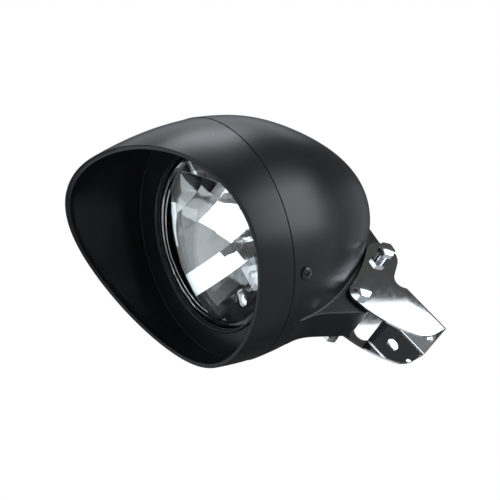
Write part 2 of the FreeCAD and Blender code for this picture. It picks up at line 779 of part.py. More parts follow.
def flange_outline():
    """Outline of the flanges: rounds about the two bolts and the toe, joined by tangent edges."""
    notch = web_top + V(0, 0, neck_notch_radius)
    toe = lower_bolt + V(0, toe_behind, -toe_below)
    hollow = meet(lower_bolt, front_edge_radius + nose_radius, upper_bolt, front_edge_radius + ear_radius, 1)
    belly = meet(lower_bolt, lower_edge_radius - nose_radius, toe, lower_edge_radius - toe_radius, 1)
    way = upper_bolt - notch
    reach = way.Length
    touch = notch_touch(notch, way / reach, (neck_notch_radius + ear_radius) / reach)
    notch_end = notch + touch * neck_notch_radius
    ear_start = upper_bolt - touch * ear_radius
    ear_end = on_circle(upper_bolt, ear_radius, hollow)
    nose_start = on_circle(lower_bolt, nose_radius, hollow)
    nose_end = lower_bolt * 2 - on_circle(lower_bolt, nose_radius, belly)
    toe_start = toe * 2 - on_circle(toe, toe_radius, belly)
    gap = web_bottom.distanceToPoint(toe)
    toe_end = meet(toe, toe_radius, web_bottom, math.sqrt(gap ** 2 - toe_radius ** 2), -1)
    return [
        line(web_bottom, web_top), arc(notch, web_top, notch_end, -1), line(notch_end, ear_start),
        arc(upper_bolt, ear_start, ear_end, 1), arc(hollow, ear_end, nose_start, -1),
        arc(lower_bolt, nose_start, nose_end, 1), arc(belly, nose_end, toe_start, 1),
        arc(toe, toe_start, toe_end, 1), line(toe_end, web_bottom)]


def notch_touch(notch, way, closeness):
    """Direction from the notch's centre to where the crossing tangent leaves it, on the front side."""
    swing = math.sqrt(1 - closeness ** 2)
    return way * closeness + V(0, -way.z, way.y) * swing


def along_web(solid, offset):
    """Edges that run down the web at a distance each side of the middle plane."""
    found = []
    for edge in solid.Edges:
        straight = abs(edge.tangentAt(edge.FirstParameter).dot(web_down)) > 0.9999
        level = all(abs(abs(corner.X) - offset) < 1e-6 for corner in edge.Vertexes)
        if straight and level:
            found.append(edge)
    return found


def make_bracket():
    """U of bent sheet: two flanges, a leaning web with its holes, and rounded bends."""
    block = across(flange_outline(), half_bracket)
    block = block.makeFillet(bend_radius + sheet, along_web(block, half_bracket))
    inner_top = web_top + web_forward * sheet
    inside = across_corners([
        inner_top, inner_top + web_down * FAR, V(0, -FAR, -FAR), V(0, -FAR, FAR), V(0, FAR, FAR),
        web_top - web_forward * FAR, web_top], half_foot)
    block = block.cut(inside.makeFillet(bend_radius, along_web(inside, half_foot)))
    for bolt in (lower_bolt, upper_bolt):
        block = block.cut(rod_x(bolt_radius + hole_gap, bolt.y, bolt.z, half_bracket + sheet))
    for hole, diameter in ((main_hole, main_hole_diameter), (locating_hole, locating_hole_diameter)):
        start = hole - web_forward * sheet
        block = block.cut(Part.makeCylinder(diameter / 2, 3 * sheet, start, web_forward))
    return block.removeSplitter()


def hexagon(flats, height):
    """Six-sided bar standing on z = 0, with the corners of its top turned off."""
    corner = flats / math.sqrt(3)
    points = [V(corner * math.cos(n * math.pi / 3), corner * math.sin(n * math.pi / 3), 0) for n in range(7)]
    bar = Part.Face(Part.makePolygon(points)).extrude(V(0, 0, height))
    cone = Part.makeCone(corner + height, flats / 2 - bolt_chamfer / 2, height + corner / 2)
    cone.translate(V(0, 0, height - cone.BoundBox.ZMax))
    return bar.common(cone)


def make_bolt(bolt, head_x):
    """Hex bolt across the foot, with its head's seat face at head_x."""
    shank = Part.makeCylinder(bolt_radius, bolt_length - bolt_chamfer, V(0, 0, bolt_chamfer - bolt_length))
    tip = Part.makeCone(bolt_radius - bolt_chamfer, bolt_radius, bolt_chamfer, V(0, 0, -bolt_length))
    body = hexagon(bolt_head_flats, bolt_head_height).fuse(shank).fuse(tip).removeSplitter()
    return placed(body, V(head_x, bolt.y, bolt.z), V(1, 0, 0))


def make_nut(bolt, standoff):
    """Hex nut on the far end of a bolt, at a distance from its washer."""
    nut = hexagon(bolt_head_flats, nut_thickness)
    nut = nut.cut(Part.makeCylinder(bolt_radius + thread_gap, nut_thickness))
    return placed(nut, V(-half_bracket - washer_thickness - standoff, bolt.y, bolt.z), V(-1, 0, 0))


def make_nut_washers():
    """Plain washers between the far flange and the nuts."""
    washer = Part.makeCylinder(washer_radius, washer_thickness)
    washer = washer.cut(Part.makeCylinder(bolt_radius + hole_gap, washer_thickness))
    return Part.makeCompound([
        placed(washer, V(-half_bracket, bolt.y, bolt.z), V(-1, 0, 0)) for bolt in (lower_bolt, upper_bolt)])


pieces = {
    "bowl": make_bowl(),
    "visor": make_visor(),
    "visor_screws": make_visor_screws(),
    "visor_screw_nuts": make_visor_screw_nuts(),
    "lens_seal": ring(lens_opening_radius + glass_gap, insert_radius, seal_face, glass_face),
    "lens_glass": make_lens_glass(),
    "reflector": make_reflector(),
    "lens_retaining_ring": make_retaining_ring(),
    "retaining_screws": make_retaining_screws(),
    "bulb_glass": make_bulb_glass(),
    "bulb_filaments": make_bulb_filaments(),
    "bulb_collar": make_bulb_collar(),
    "bulb_base": make_bulb_base(),
    "bulb_terminals": make_bulb_terminals(),
    "bulb_clip": make_bulb_clip(),
    "dust_boot": make_dust_boot(),
    "bulb_connector": make_bulb_connector(),
    "pilot_bulb": make_pilot_bulb(),
    "pilot_holder": make_pilot_holder(),
    "cable_grommet": make_cable_grommet(),
    "bracket": make_bracket(),
    "lower_bolt": make_bolt(lower_bolt, half_bracket),
    "upper_bolt": make_bolt(upper_bolt, half_bracket + upper_bolt_standoff),
    "lower_nut": make_nut(lower_bolt, lower_nut_standoff),
    "upper_nut": make_nut(upper_bolt, 0),
    "nut_washers": make_nut_washers(),
}

os.makedirs("parts", exist_ok=True)
for name, shape in pieces.items():
    shape.translate(V(0, 0, 0) - main_hole)
    shape.exportStep("parts/" + name + ".step")
    box = shape.BoundBox
    print(name, shape.isValid(), len(shape.Solids), round(shape.Volume),
          [round(size, 1) for size in (box.XMin, box.XMax, box.YMin, box.YMax, box.ZMin, box.ZMax)])
print("seam centre", [round(size, 3) for size in V(0, 0, 0) - main_hole])
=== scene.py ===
import math

import bmesh
import bpy
import numpy as np
from mathutils import Matrix, Quaternion, Vector


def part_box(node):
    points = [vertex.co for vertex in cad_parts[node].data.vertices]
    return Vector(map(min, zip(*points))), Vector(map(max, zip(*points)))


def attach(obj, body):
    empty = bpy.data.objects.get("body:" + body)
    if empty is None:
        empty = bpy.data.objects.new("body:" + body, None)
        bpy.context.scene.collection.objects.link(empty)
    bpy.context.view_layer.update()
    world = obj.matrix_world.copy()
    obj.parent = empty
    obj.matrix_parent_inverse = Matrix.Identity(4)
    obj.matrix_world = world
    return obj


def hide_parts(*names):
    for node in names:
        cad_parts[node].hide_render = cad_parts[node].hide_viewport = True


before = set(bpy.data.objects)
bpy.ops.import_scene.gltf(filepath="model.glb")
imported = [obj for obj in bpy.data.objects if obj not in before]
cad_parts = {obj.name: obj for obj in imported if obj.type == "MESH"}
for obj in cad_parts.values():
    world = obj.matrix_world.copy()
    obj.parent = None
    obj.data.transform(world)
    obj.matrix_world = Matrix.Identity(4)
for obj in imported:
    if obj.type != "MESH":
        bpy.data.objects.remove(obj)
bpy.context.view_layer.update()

# Stage: a plain pale round floor far below the lamp, which is held by its bracket, and a surround that
# is white to the camera and dim to the lamp. Soft boxes stand all round, the brightest at the picture's
# right, top and lower left. The camera looks up at the lamp, rolled over as the lamp lies in the picture.
scene = bpy.context.scene
scene.view_settings.view_transform = "Standard"
camera_place = Vector((0.7146, -0.7020, -0.2932))
camera_aim = Vector((0.0081, -0.1143, 0.1011))
camera_roll = math.radians(-33.45)
view_way = (camera_aim - camera_place).normalized()
turn = view_way.to_track_quat("-Z", "Y") @ Quaternion((0, 0, 1), camera_roll)
camera = bpy.data.objects.new("camera", bpy.data.cameras.new("camera"))
camera.data.lens = 88.83
camera.data.sensor_width = 36.0
camera.matrix_world = Matrix.Translation(camera_place) @ turn.to_matrix().to_4x4()
scene.collection.objects.link(camera)
scene.camera = camera

floor_radius = 1.1
floor_height = -1.05
floor_edge = [(floor_radius * math.cos(a), floor_radius * math.sin(a), floor_height)
              for a in np.linspace(0, 2 * math.pi, 96, endpoint=False)]
floor_mesh = bpy.data.meshes.new("floor")
floor_mesh.from_pydata(floor_edge, [], [range(len(floor_edge))])
floor = bpy.data.objects.new("floor", floor_mesh)
scene.collection.objects.link(floor)
floor_paint = bpy.data.materials.new("pale_floor")
floor_paint.use_nodes = True
floor_shader = floor_paint.node_tree.nodes["Principled BSDF"]
floor_shader.inputs["Base Color"].default_value = (0.82, 0.82, 0.82, 1)
floor_shader.inputs["Roughness"].default_value = 0.9
floor_mesh.materials.append(floor_paint)

surround = bpy.data.worlds.new("surround")
surround.use_nodes = True
scene.world = surround
sky = surround.node_tree
seen_light = sky.nodes["Background"]
seen_light.inputs["Strength"].default_value = 1.0
seen_light.inputs["Color"].default_value = (1, 1, 1, 1)
room_light = sky.nodes.new("ShaderNodeBackground")
room_light.inputs["Color"].default_value = (1.0, 1.0, 1.0, 1)
room_light.inputs["Strength"].default_value = 0.08
light_path = sky.nodes.new("ShaderNodeLightPath")
either = sky.nodes.new("ShaderNodeMixShader")
sky.links.new(light_path.outputs["Is Camera Ray"], either.inputs["Fac"])
sky.links.new(room_light.outputs["Background"], either.inputs[1])
sky.links.new(seen_light.outputs["Background"], either.inputs[2])
sky.links.new(either.outputs["Shader"], sky.nodes["World Output"].inputs["Surface"])

picture = turn.to_matrix()
picture_up = picture @ Vector((0, 1, 0))
light_aim = Vector((0, -0.1, 0.11))


def soft_box(name, way, distance, width, height, brightness, roll=0.0):
    """Soft box that faces the lamp from a way given in the picture's right, up and near directions."""
    light = bpy.data.lights.new(name, "AREA")
    light.shape = "RECTANGLE"
    light.size = width
    light.size_y = height
    light.color = (0.88, 0.945, 1.0)
    light.energy = brightness * math.pi * width * height
    away = (picture @ Vector(way)).normalized()
    level = picture_up.cross(away).normalized()
    box = bpy.data.objects.new(name, light)
    axes = Matrix((level, away.cross(level), away)).transposed()
    axes = axes @ Matrix.Rotation(math.radians(roll), 3, "Z")
    box.matrix_world = Matrix.Translation(light_aim + away * distance) @ axes.to_4x4()
    box.visible_camera = False
    scene.collection.objects.link(box)


soft_box("right_box", (0.87, 0.38, 0.24), 1.4, 0.95, 0.90, 7.0)
soft_box("right_fill", (0.95, -0.02, 0.02), 1.7, 1.60, 1.60, 0.9)
soft_box("top_box", (0.03, 0.95, -0.32), 1.4, 0.55, 0.50, 8.0)
soft_box("top_fill", (0.22, 0.97, -0.02), 1.5, 0.80, 0.50, 1.1)
soft_box("back_top_box", (-0.03, 0.72, -0.69), 1.4, 1.15, 0.75, 1.1)
soft_box("back_right_box", (0.68, 0.12, -0.72), 1.4, 0.60, 0.60, 0.50)
soft_box("left_box", (-0.93, 0.30, 0.20), 1.4, 0.80, 0.80, 2.2)
soft_box("low_left_box", (-0.95, -0.24, -0.18), 1.5, 1.10, 1.10, 0.9)
soft_box("lip_box", (-0.72, -0.63, 0.28), 1.3, 0.32, 0.32, 8.0)
soft_box("corner_box", (0.743, 0.661, 0.107), 1.424, 0.60, 0.45, 2.4, -52.3)
soft_box("front_box", (-0.44, 0.56, 0.70), 1.4, 0.95, 0.95, 2.2)
soft_box("low_front_box", (-0.48, -0.52, 0.71), 1.4, 1.00, 1.25, 2.0)
soft_box("front_fill", (0.05, 0.0, 1.0), 1.7, 1.80, 1.80, 0.30)
soft_box("under_box", (0.10, -0.97, 0.20), 1.5, 0.80, 1.40, 0.55)

# Bowl: the round tail housing with its foot, one moulding painted matt black over a fine grain.
# It is turned from a smooth curve. The foot is a flat-bottomed keel that rises out of the round
# behind the seam, with a lug each side where the bracket's bolts pass through.
mm = 0.001
bowl_low, bowl_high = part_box("bowl")
rim_radius = bowl_high.x
axis_y = bowl_low.y
axis_z = bowl_high.z - rim_radius
bowl_wall = 2.5 * mm
tail_flat_depth = 1.0 * mm
bowl_length = 152.3 * mm
bowl_rim_slope = 0.05
bowl_shape = ((0.262, 0.9535), (0.53, 0.798), (0.75, 0.599), (0.91, 0.367), (0.974, 0.193))


def smooth_curve(points, start_way, end_way, steps):
    """Points along a smooth curve through the given ones, leaving and arriving in two directions."""
    knots = np.array(points, float)
    spans = np.linalg.norm(np.diff(knots, axis=0), axis=1)
    count = len(knots)
    system = np.eye(count)
    right = np.zeros_like(knots)
    right[0] = np.array(start_way) / np.linalg.norm(start_way)
    right[-1] = np.array(end_way) / np.linalg.norm(end_way)
    for n in range(1, count - 1):
        before, after = spans[n - 1], spans[n]
        system[n, n - 1:n + 2] = after, 2 * (before + after), before
        rise_in = (knots[n] - knots[n - 1]) / before
        rise_out = (knots[n + 1] - knots[n]) / after
        right[n] = 3 * (after * rise_in + before * rise_out)
    slopes = np.linalg.solve(system, right)
    found = []
    for n, span in enumerate(spans):
        for t in np.linspace(0, 1, steps, endpoint=False):
            hold = (1 + 2 * t) * (1 - t) ** 2
            found.append(hold * knots[n] + (1 - hold) * knots[n + 1]
                         + span * t * (1 - t) * ((1 - t) * slopes[n] - t * slopes[n + 1]))
    found.append(knots[-1])
    return np.array(found)


def bowl_curve(radius, length):
    """Radius of the bowl at distances behind the seam, as two matched lists."""
    between = [(along * length, share * radius) for along, share in bowl_shape]
    points = [(0, radius)] + between + [(length, 0)]
    return smooth_curve(points, (1, -bowl_rim_slope), (0, -1), 60).T


outer_y, outer_r = bowl_curve(rim_radius, bowl_length)
inner_y, inner_r = bowl_curve(rim_radius - bowl_wall, bowl_length - bowl_wall)


def bolt_axis(node):
    """Where a bolt crosses the lamp's middle plane, behind the seam and below the axis."""
    low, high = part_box(node)
    return np.array(((low.y + high.y) / 2 - axis_y, axis_z - (low.z + high.z) / 2))


lower_bolt = bolt_axis("lower_bolt")
upper_bolt = bolt_axis("upper_bolt")
lug_half = 19.0 * mm
keel_half = 17.0 * mm
keel_front = 4.0 * mm
keel_leave = 26.0 * mm
keel_lift = 0.3 * mm
keel_slope = 0.285
keel_straight = 33.0 * mm
knee = lower_bolt + (-2.3 * mm, 16.7 * mm)
knee_round = 5.0 * mm
heel_radius = 11.5 * mm
heel_round = 1.0 * mm
lug_radius = 9.5 * mm
lug_edge = 0.4 * mm
keel_edge = 1.0 * mm
keel_fillet = 1.6 * mm
keel_fade = 14.0 * mm


def keel_line():
    """Depth of the keel's sole below the axis at distances behind the seam, from its front to its heel."""
    ahead = np.array((1, keel_slope)) / math.hypot(1, keel_slope)
    under = [(y, np.interp(y, outer_y, outer_r) + keel_lift)
             for y in (keel_front, (keel_front + keel_leave) / 2, keel_leave)]
    bend_end = knee - ahead * keel_straight
    bend = smooth_curve(under + [bend_end], np.subtract(under[1], under[0]), ahead, 30)
    reach = np.linalg.norm(upper_bolt - knee)
    climb = math.atan2(knee[1] - upper_bolt[1], upper_bolt[0] - knee[0])
    swing = climb - math.asin(heel_radius / reach)
    rise = np.array((math.cos(swing), -math.sin(swing)))
    way = math.sqrt(reach ** 2 - heel_radius ** 2)
    touch = knee + rise * way
    corner = []
    for t in np.linspace(0, 1, 9):
        corner.append((1 - t) ** 2 * (knee - ahead * knee_round) + 2 * t * (1 - t) * knee
                      + t ** 2 * (knee + rise * knee_round))
    start = math.atan2(touch[1] - upper_bolt[1], touch[0] - upper_bolt[0])
    heel = [upper_bolt + heel_radius * np.array((math.cos(a), math.sin(a)))
            for a in np.linspace(start, 0, 16)]
    return np.concatenate([bend, corner, heel]).T


keel_y, keel_depth = keel_line()
heel_y = keel_y[-1]


def bowl_section(radius, half, drop, share):
    """Right half of a section through bowl and keel, from the middle of the sole up to the top."""
    stand = max(drop - math.sqrt(max(radius ** 2 - half ** 2, 0)), 0)
    fillet = min(keel_fillet, max(0.5 * stand, 0.01 * mm))
    corner = min(keel_edge, max(0.5 * stand, 0.01 * mm))
    touch = math.asin(min((half + fillet) / (radius + fillet), 0.75))
    sole = [(x, -drop) for x in np.linspace(0, half - corner, 10)]
    edge = [(half - corner + corner * math.sin(a), -drop + corner - corner * math.cos(a))
            for a in np.radians((15, 30, 45, 60, 75))]
    fillet_z = -math.sqrt(max((radius + fillet) ** 2 - (half + fillet) ** 2, 0))
    flank = [(half, z) for z in np.linspace(corner - drop, fillet_z, 9)]
    hollow = [(half + fillet - fillet * math.cos(a), fillet_z + fillet * math.sin(a))
              for a in np.linspace(0, math.pi / 2 - touch, 7)[1:]]
    foot_side = np.array(sole + edge + flank + hollow)
    spread = np.linspace(0, touch, len(foot_side))
    plain = np.stack([radius * np.sin(spread), -radius * np.cos(spread)], axis=1)
    zone = plain + (foot_side - plain) * share
    over = np.linspace(touch, math.pi, 76)[1:]
    return np.concatenate([zone, np.stack([radius * np.sin(over), -radius * np.cos(over)], axis=1)])


def ring_of(half_section, y):
    """Closed ring of points in the lamp's frame from a half section, mirrored."""
    left = half_section[1:-1][::-1] * (-1, 1)
    both = np.concatenate([half_section, left])
    return [(x, axis_y + y, axis_z + z) for x, z in both]


def new_piece(name, points, faces):
    """Mesh object with doubles merged and its faces turned outwards, at the origin."""
    mesh = bpy.data.meshes.new(name)
    mesh.from_pydata(points, [], faces)
    work = bmesh.new()
    work.from_mesh(mesh)
    bmesh.ops.remove_doubles(work, verts=work.verts, dist=0.004 * mm)
    bmesh.ops.recalc_face_normals(work, faces=work.faces)
    work.to_mesh(mesh)
    work.free()
    piece = bpy.data.objects.new(name, mesh)
    scene.collection.objects.link(piece)
    return piece


def ring_faces(rings, count, around=True, along=True):
    """Faces between rings of so many points, closed round each ring and from the last ring to the first."""
    faces = []
    for n in range(rings if along else rings - 1):
        here, there = n * count, (n + 1) % rings * count
        for i in range(count if around else count - 1):
            j = (i + 1) % count
            faces.append((here + i, here + j, there + j, there + i))
    return faces


def loft(name, rings):
    """Mesh object with a skin over closed rings of equal length, the last one joined to the first."""
    return new_piece(name, [point for ring in rings for point in ring], ring_faces(len(rings), len(rings[0])))


def shade(piece, angle):
    """Smooth shading, kept sharp at edges that turn by more than an angle in degrees."""
    piece.data.shade_smooth()
    piece.data.set_sharp_from_angle(angle=math.radians(angle))


def bowl_ring(y, keel=True, shrink=0.0):
    """Ring round the outside of the bowl, with the keel drawn in by a rounded edge."""
    radius = np.interp(y, outer_y, outer_r)
    drop = np.interp(y, keel_y, keel_depth) - shrink
    fade = min(max((y - keel_front) / keel_fade, 0), 1)
    share = fade * fade * (3 - 2 * fade) if keel else 0
    return ring_of(bowl_section(radius, keel_half - shrink, drop, share), y)


def plain_ring(radius, y):
    """Round ring with as many points as the bowl's others."""
    return ring_of(bowl_section(radius, min(keel_half, radius / 2), radius, 0), y)


quarter_turn = np.radians((0, 22.5, 45, 67.5, 90))
seam_round = 0.2 * mm
grommet_hole_radius = 6.25 * mm
tail_flat_radius = 9.25 * mm
tail_start = np.interp(-tail_flat_radius, -outer_r, outer_y)
tail_flat_y = bowl_length - tail_flat_depth
ring_step = 1.5 * mm
ring_margin = 0.4 * mm
rings = [plain_ring(np.interp(seam_round * math.sin(a), outer_y, outer_r) - seam_round * (1 - math.sin(a)),
                    seam_round * (1 - math.cos(a))) for a in quarter_turn]
heel_steps = [heel_y - heel_radius * (1 - math.sin(a)) for a in np.radians(np.arange(12, 84, 8))]
rings += [bowl_ring(y) for y in np.arange(ring_step, heel_steps[0] - ring_margin, ring_step)]
rings += [bowl_ring(y) for y in heel_steps if y < heel_y - heel_round]
rings += [bowl_ring(heel_y - heel_round * (1 - math.sin(a)), True, heel_round * (1 - math.cos(a)))
          for a in quarter_turn]
rings += [bowl_ring(y, False) for y in np.linspace(heel_y, tail_start, 24)]
rings += [plain_ring(tail_flat_radius, tail_flat_y), plain_ring(grommet_hole_radius, tail_flat_y)]
inside_end = bowl_length - 2 * bowl_wall
rings += [plain_ring(np.interp(y, inner_y, inner_r) if y < inside_end else grommet_hole_radius, y)
          for y in np.linspace(bowl_length - bowl_wall - ring_margin, 0, 40)]
bowl = loft("bowl_shell", rings)


def settle(piece):
    """Turns a piece's modifiers into its plain mesh."""
    bpy.context.view_layer.update()
    shaped = piece.evaluated_get(bpy.context.evaluated_depsgraph_get())
    mesh = bpy.data.meshes.new_from_object(shaped)
    piece.modifiers.clear()
    piece.data = mesh


def carve(piece, operation, tool):
    """Joins a tool mesh to a piece or cuts it away, and keeps the result as the piece's mesh."""
    bmesh.ops.recalc_face_normals(tool, faces=tool.faces)
    mesh = bpy.data.meshes.new("tool")
    tool.to_mesh(mesh)
    tool.free()
    cutter = bpy.data.objects.new("tool", mesh)
    scene.collection.objects.link(cutter)
    work = piece.modifiers.new("carve", "BOOLEAN")
    work.object = cutter
    work.operation = operation
    work.solver = "EXACT"
    settle(piece)
    bpy.data.objects.remove(cutter)


def rods(bars):
    """Round bars, each from a start along a way with a radius, as one tool."""
    tool = bmesh.new()
    for start, way, radius in bars:
        place = Matrix.Translation(start + way / 2) @ way.to_track_quat("Z", "X").to_matrix().to_4x4()
        bmesh.ops.create_cone(tool, cap_ends=True, segments=48, radius1=radius, radius2=radius,
                              depth=way.length, matrix=place)
    return tool


def lug_bar():
    """Bar across the keel with round ends about the two bolts, its outer edges slightly rounded."""
    way = (upper_bolt - lower_bolt) / np.linalg.norm(upper_bolt - lower_bolt)
    lean = math.atan2(way[1], way[0])
    inner_half = lug_half - lug_edge
    points = []
    for x, inset in ((-lug_half, lug_edge), (-inner_half, 0), (inner_half, 0), (lug_half, lug_edge)):
        for centre, start in ((upper_bolt, lean - math.pi / 2), (lower_bolt, lean + math.pi / 2)):
            for a in np.linspace(start, start + math.pi, 25):
                y, drop = centre + (lug_radius - inset) * np.array((math.cos(a), math.sin(a)))
                points.append((x, axis_y + y, axis_z - drop))
    count = len(points) // 4
    bar = bpy.data.meshes.new("lug_bar")
    ends = [range(count), range(3 * count, 4 * count)]
    bar.from_pydata(points, [], ring_faces(4, count, along=False) + ends)
    tool = bmesh.new()
    tool.from_mesh(bar)
    return tool


carve(bowl, "UNION", lug_bar())
screw_angle = math.radians(35.4)
screw_setback = 11.5 * mm
spot_face_depth = 0.6 * mm
spot_face_radius = 5.675 * mm
screw_seat = np.interp(screw_setback, outer_y, outer_r) - spot_face_depth
screw_ways = [Vector((side * math.sin(screw_angle), 0, -math.cos(screw_angle))) for side in (-1, 1)]
screw_seats = [Vector((0, axis_y + screw_setback, axis_z)) + way * screw_seat for way in screw_ways]
across = Vector((1, 0, 0))
bolt_hole_radius = 4.25 * mm
bolt_hole_reach = 1.3 * lug_half
screw_hole_radius = 2.75 * mm
screw_hole_depth = 5.0 * mm
spot_face_reach = 8.0 * mm
holes = [(seat, way * spot_face_reach, spot_face_radius) for seat, way in zip(screw_seats, screw_ways)]
for y, drop in (lower_bolt, upper_bolt):
    start = Vector((-bolt_hole_reach, axis_y + y, axis_z - drop))
    holes.append((start, across * 2 * bolt_hole_reach, bolt_hole_radius))
carve(bowl, "DIFFERENCE", rods(holes))
screw_holes = [(seat - way * screw_hole_depth, way * (screw_hole_depth + mm), screw_hole_radius)
               for seat, way in zip(screw_seats, screw_ways)]
carve(bowl, "DIFFERENCE", rods(screw_holes))
shade(bowl, 32)


def maths(operation):
    """Operator that adds one Math node to a field's tree, and its reflected form."""
    def add(field, first, second):
        return field.node("ShaderNodeMath", {"operation": operation}, {0: first, 1: second})

    return lambda own, other: add(own, own, other), lambda own, other: add(own, other, own)


class Field:
    """One value that changes over a surface or a shape. Arithmetic on it adds Math nodes to its tree."""

    def __init__(self, tree, socket=None):
        self.tree = tree
        self.socket = socket

    def node(self, kind, settings, sockets, out=0):
        """Adds a node: its settings first, then the values or links of its sockets. Gives one output."""
        made = self.tree.nodes.new(kind)
        for name, value in settings.items():
            setattr(made, name, value)
        for name, value in sockets.items():
            for link in value if isinstance(value, list) else [value]:
                if isinstance(link, Field):
                    self.tree.links.new(link.socket, made.inputs[name])
                else:
                    made.inputs[name].default_value = link
        return Field(self.tree, made.outputs[out])

    __add__, __radd__ = maths("ADD")
    __sub__, __rsub__ = maths("SUBTRACT")
    __mul__, __rmul__ = maths("MULTIPLY")
    __truediv__, __rtruediv__ = maths("DIVIDE")
    __lt__ = maths("LESS_THAN")[0]

    def mix(self, low, high):
        """Colour between two others, by this value."""
        return self.node("ShaderNodeMix", {"data_type": "RGBA"}, {0: self, 6: low, 7: high}, out=2)

    def between(self, low, high):
        """This value as a share of the way from low to high, kept within 0 and 1."""
        return self.node("ShaderNodeMapRange", {"clamp": True}, {
            "Value": self, "From Min": low, "From Max": high})

    def noise(self, scale, detail=3.0, rough=0.5):
        """Grey cloud pattern on these coordinates, with so many cells to the metre."""
        return self.node("ShaderNodeTexNoise", {}, {
            "Vector": self, "Scale": scale, "Detail": detail, "Roughness": rough})

    def stretched(self, x, y, z):
        """These coordinates stretched along the axes."""
        return self.node("ShaderNodeMapping", {}, {"Vector": self, "Scale": (x, y, z)})

    def bump(self, depth, strength):
        """Normal tilted by this height pattern, of a depth in metres."""
        return self.node("ShaderNodeBump", {}, {"Height": self, "Distance": depth, "Strength": strength})


def finish_of(name, **constants):
    """New material with one Principled shader, its coordinates, and a way to link fields to the shader."""
    material = bpy.data.materials.new(name)
    material.use_nodes = True
    tree = material.node_tree
    shader = tree.nodes["Principled BSDF"]
    for socket, value in constants.items():
        shader.inputs[socket.replace("_", " ")].default_value = value

    def link(**fields):
        for socket, field in fields.items():
            tree.links.new(field.socket, shader.inputs[socket.replace("_", " ")])

    return material, Field(tree).node("ShaderNodeTexCoord", {}, {}, out="Object"), link


def matt_black_paint():
    """Matt black paint: a pebbled fine grain, soft cloudy gloss, and a few pale specks of dust."""
    material, place, link = finish_of("matt_black", IOR=1.45, Specular_IOR_Level=0.25)
    cloud = place.noise(35, 4)
    grain = place.noise(1900, 2)
    speck = place.node("ShaderNodeTexVoronoi", {}, {"Vector": place, "Scale": 95}) < 0.035
    dust = speck * place.noise(47, 1).between(0.66, 0.7)
    black = cloud.between(0.3, 0.7).mix((0.0060, 0.0062, 0.0069, 1), (0.0078, 0.0080, 0.0088, 1))
    link(Base_Color=dust.mix(black, (0.14, 0.14, 0.145, 1)),
         Roughness=0.29 + 0.05 * cloud + 0.04 * grain,
         Normal=grain.bump(0.02 * mm, 0.5))
    return material


def finish(piece, node, material=None):
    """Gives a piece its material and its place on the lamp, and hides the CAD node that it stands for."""
    if material:
        piece.data.materials.clear()
        piece.data.materials.append(material)
    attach(piece, "root")
    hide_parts(node)


matt_black = matt_black_paint()
finish(bowl, "bowl", matt_black)

# Cable grommet: a moulded black rubber bush that snaps into the hole in the bowl's tail. Its flange
# lies in the flat there, and the bore is left open.
grommet_low, grommet_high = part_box("cable_grommet")
grommet_edge = 0.7 * mm
grommet_bore, grommet_neck, grommet_flange = 3.5 * mm, 6.0 * mm, 9.0 * mm


def turned(profile, steps, centre=(0.0, axis_z), closed=True):
    """Points and faces turned about a front-to-back axis from (radius, y) points in the lamp's frame."""
    points = []
    for n in range(steps):
        angle = 2 * math.pi * n / steps
        points += [(centre[0] + r * math.sin(angle), y, centre[1] + r * math.cos(angle)) for r, y in profile]
    return points, ring_faces(steps, len(profile), around=closed)


def rounded(corners, radius, steps=5):
    """Closed outline with its corners rounded."""
    found = []
    for n, corner in enumerate(np.array(corners, float)):
        before = np.array(corners[n - 1]) - corner
        after = np.array(corners[(n + 1) % len(corners)]) - corner
        room = min(radius, 0.45 * np.linalg.norm(before), 0.45 * np.linalg.norm(after))
        first = corner + before / np.linalg.norm(before) * room
        last = corner + after / np.linalg.norm(after) * room
        for t in np.linspace(0, 1, steps):
            found.append((1 - t) ** 2 * first + 2 * t * (1 - t) * corner + t ** 2 * last)
    return [tuple(p) for p in found]


flat_y = axis_y + tail_flat_y
grommet_outline = rounded([
    (grommet_bore, grommet_low.y), (grommet_bore, grommet_high.y), (grommet_flange, grommet_high.y),
    (grommet_flange, flat_y), (grommet_neck, flat_y), (grommet_neck, grommet_low.y)], grommet_edge)
grommet = new_piece("cable_bush", *turned(grommet_outline, 64))
shade(grommet, 40)


def rubber_finish():
    """Black moulded rubber with a dull bloom and a fine grain."""
    material, place, link = finish_of("rubber", IOR=1.5)
    bloom = place.noise(160, 4)
    grain = place.noise(2600, 2)
    link(Base_Color=bloom.between(0.35, 0.75).mix((0.010, 0.010, 0.011, 1), (0.030, 0.030, 0.031, 1)),
         Roughness=0.52 + 0.22 * bloom,
         Normal=(bloom * 0.3 + grain).bump(0.03 * mm, 0.6))
    return material


rubber = rubber_finish()
finish(grommet, "cable_grommet", rubber)

# Visor: the scooped hood with a rounded lip, one moulding with the flat shelf that carries the lens
# and the spigot that slides into the bowl, painted matt black inside and out. Three bosses behind
# the shelf take the screws of the retaining ring.
visor_wall = 3.0 * mm
visor_tip_radius = 84.8 * mm
visor_seam_slope = 0.0334
reach_top, reach_upper, reach_side = 92.6 * mm, 63.8 * mm, 42.8 * mm
reach_lower, reach_bottom = 31.9 * mm, 33.9 * mm
lip_round = 0.6 * mm
lip_wall = 3.8 * mm
lip_depth = 7.0 * mm
seam_gap = 0.10 * mm
seam_step = 0.4 * mm
seam_fade = 30.0 * mm
edge_round = 0.5 * mm
shelf_face = 5.6 * mm
shelf_thickness = 2.0 * mm
lens_opening_radius = 73.0 * mm
bead_radius = 1.6 * mm
spigot_length = 20.0 * mm
spigot_wall = 2.0 * mm
spigot_gap = 0.3 * mm
shelf_corner = 0.5 * mm


def visor_radius(reach):
    """Outer radius of the visor at a distance ahead of the seam."""
    bow = (rim_radius - visor_seam_slope * reach_top - visor_tip_radius) / reach_top ** 2
    return rim_radius - visor_seam_slope * reach - bow * reach ** 2


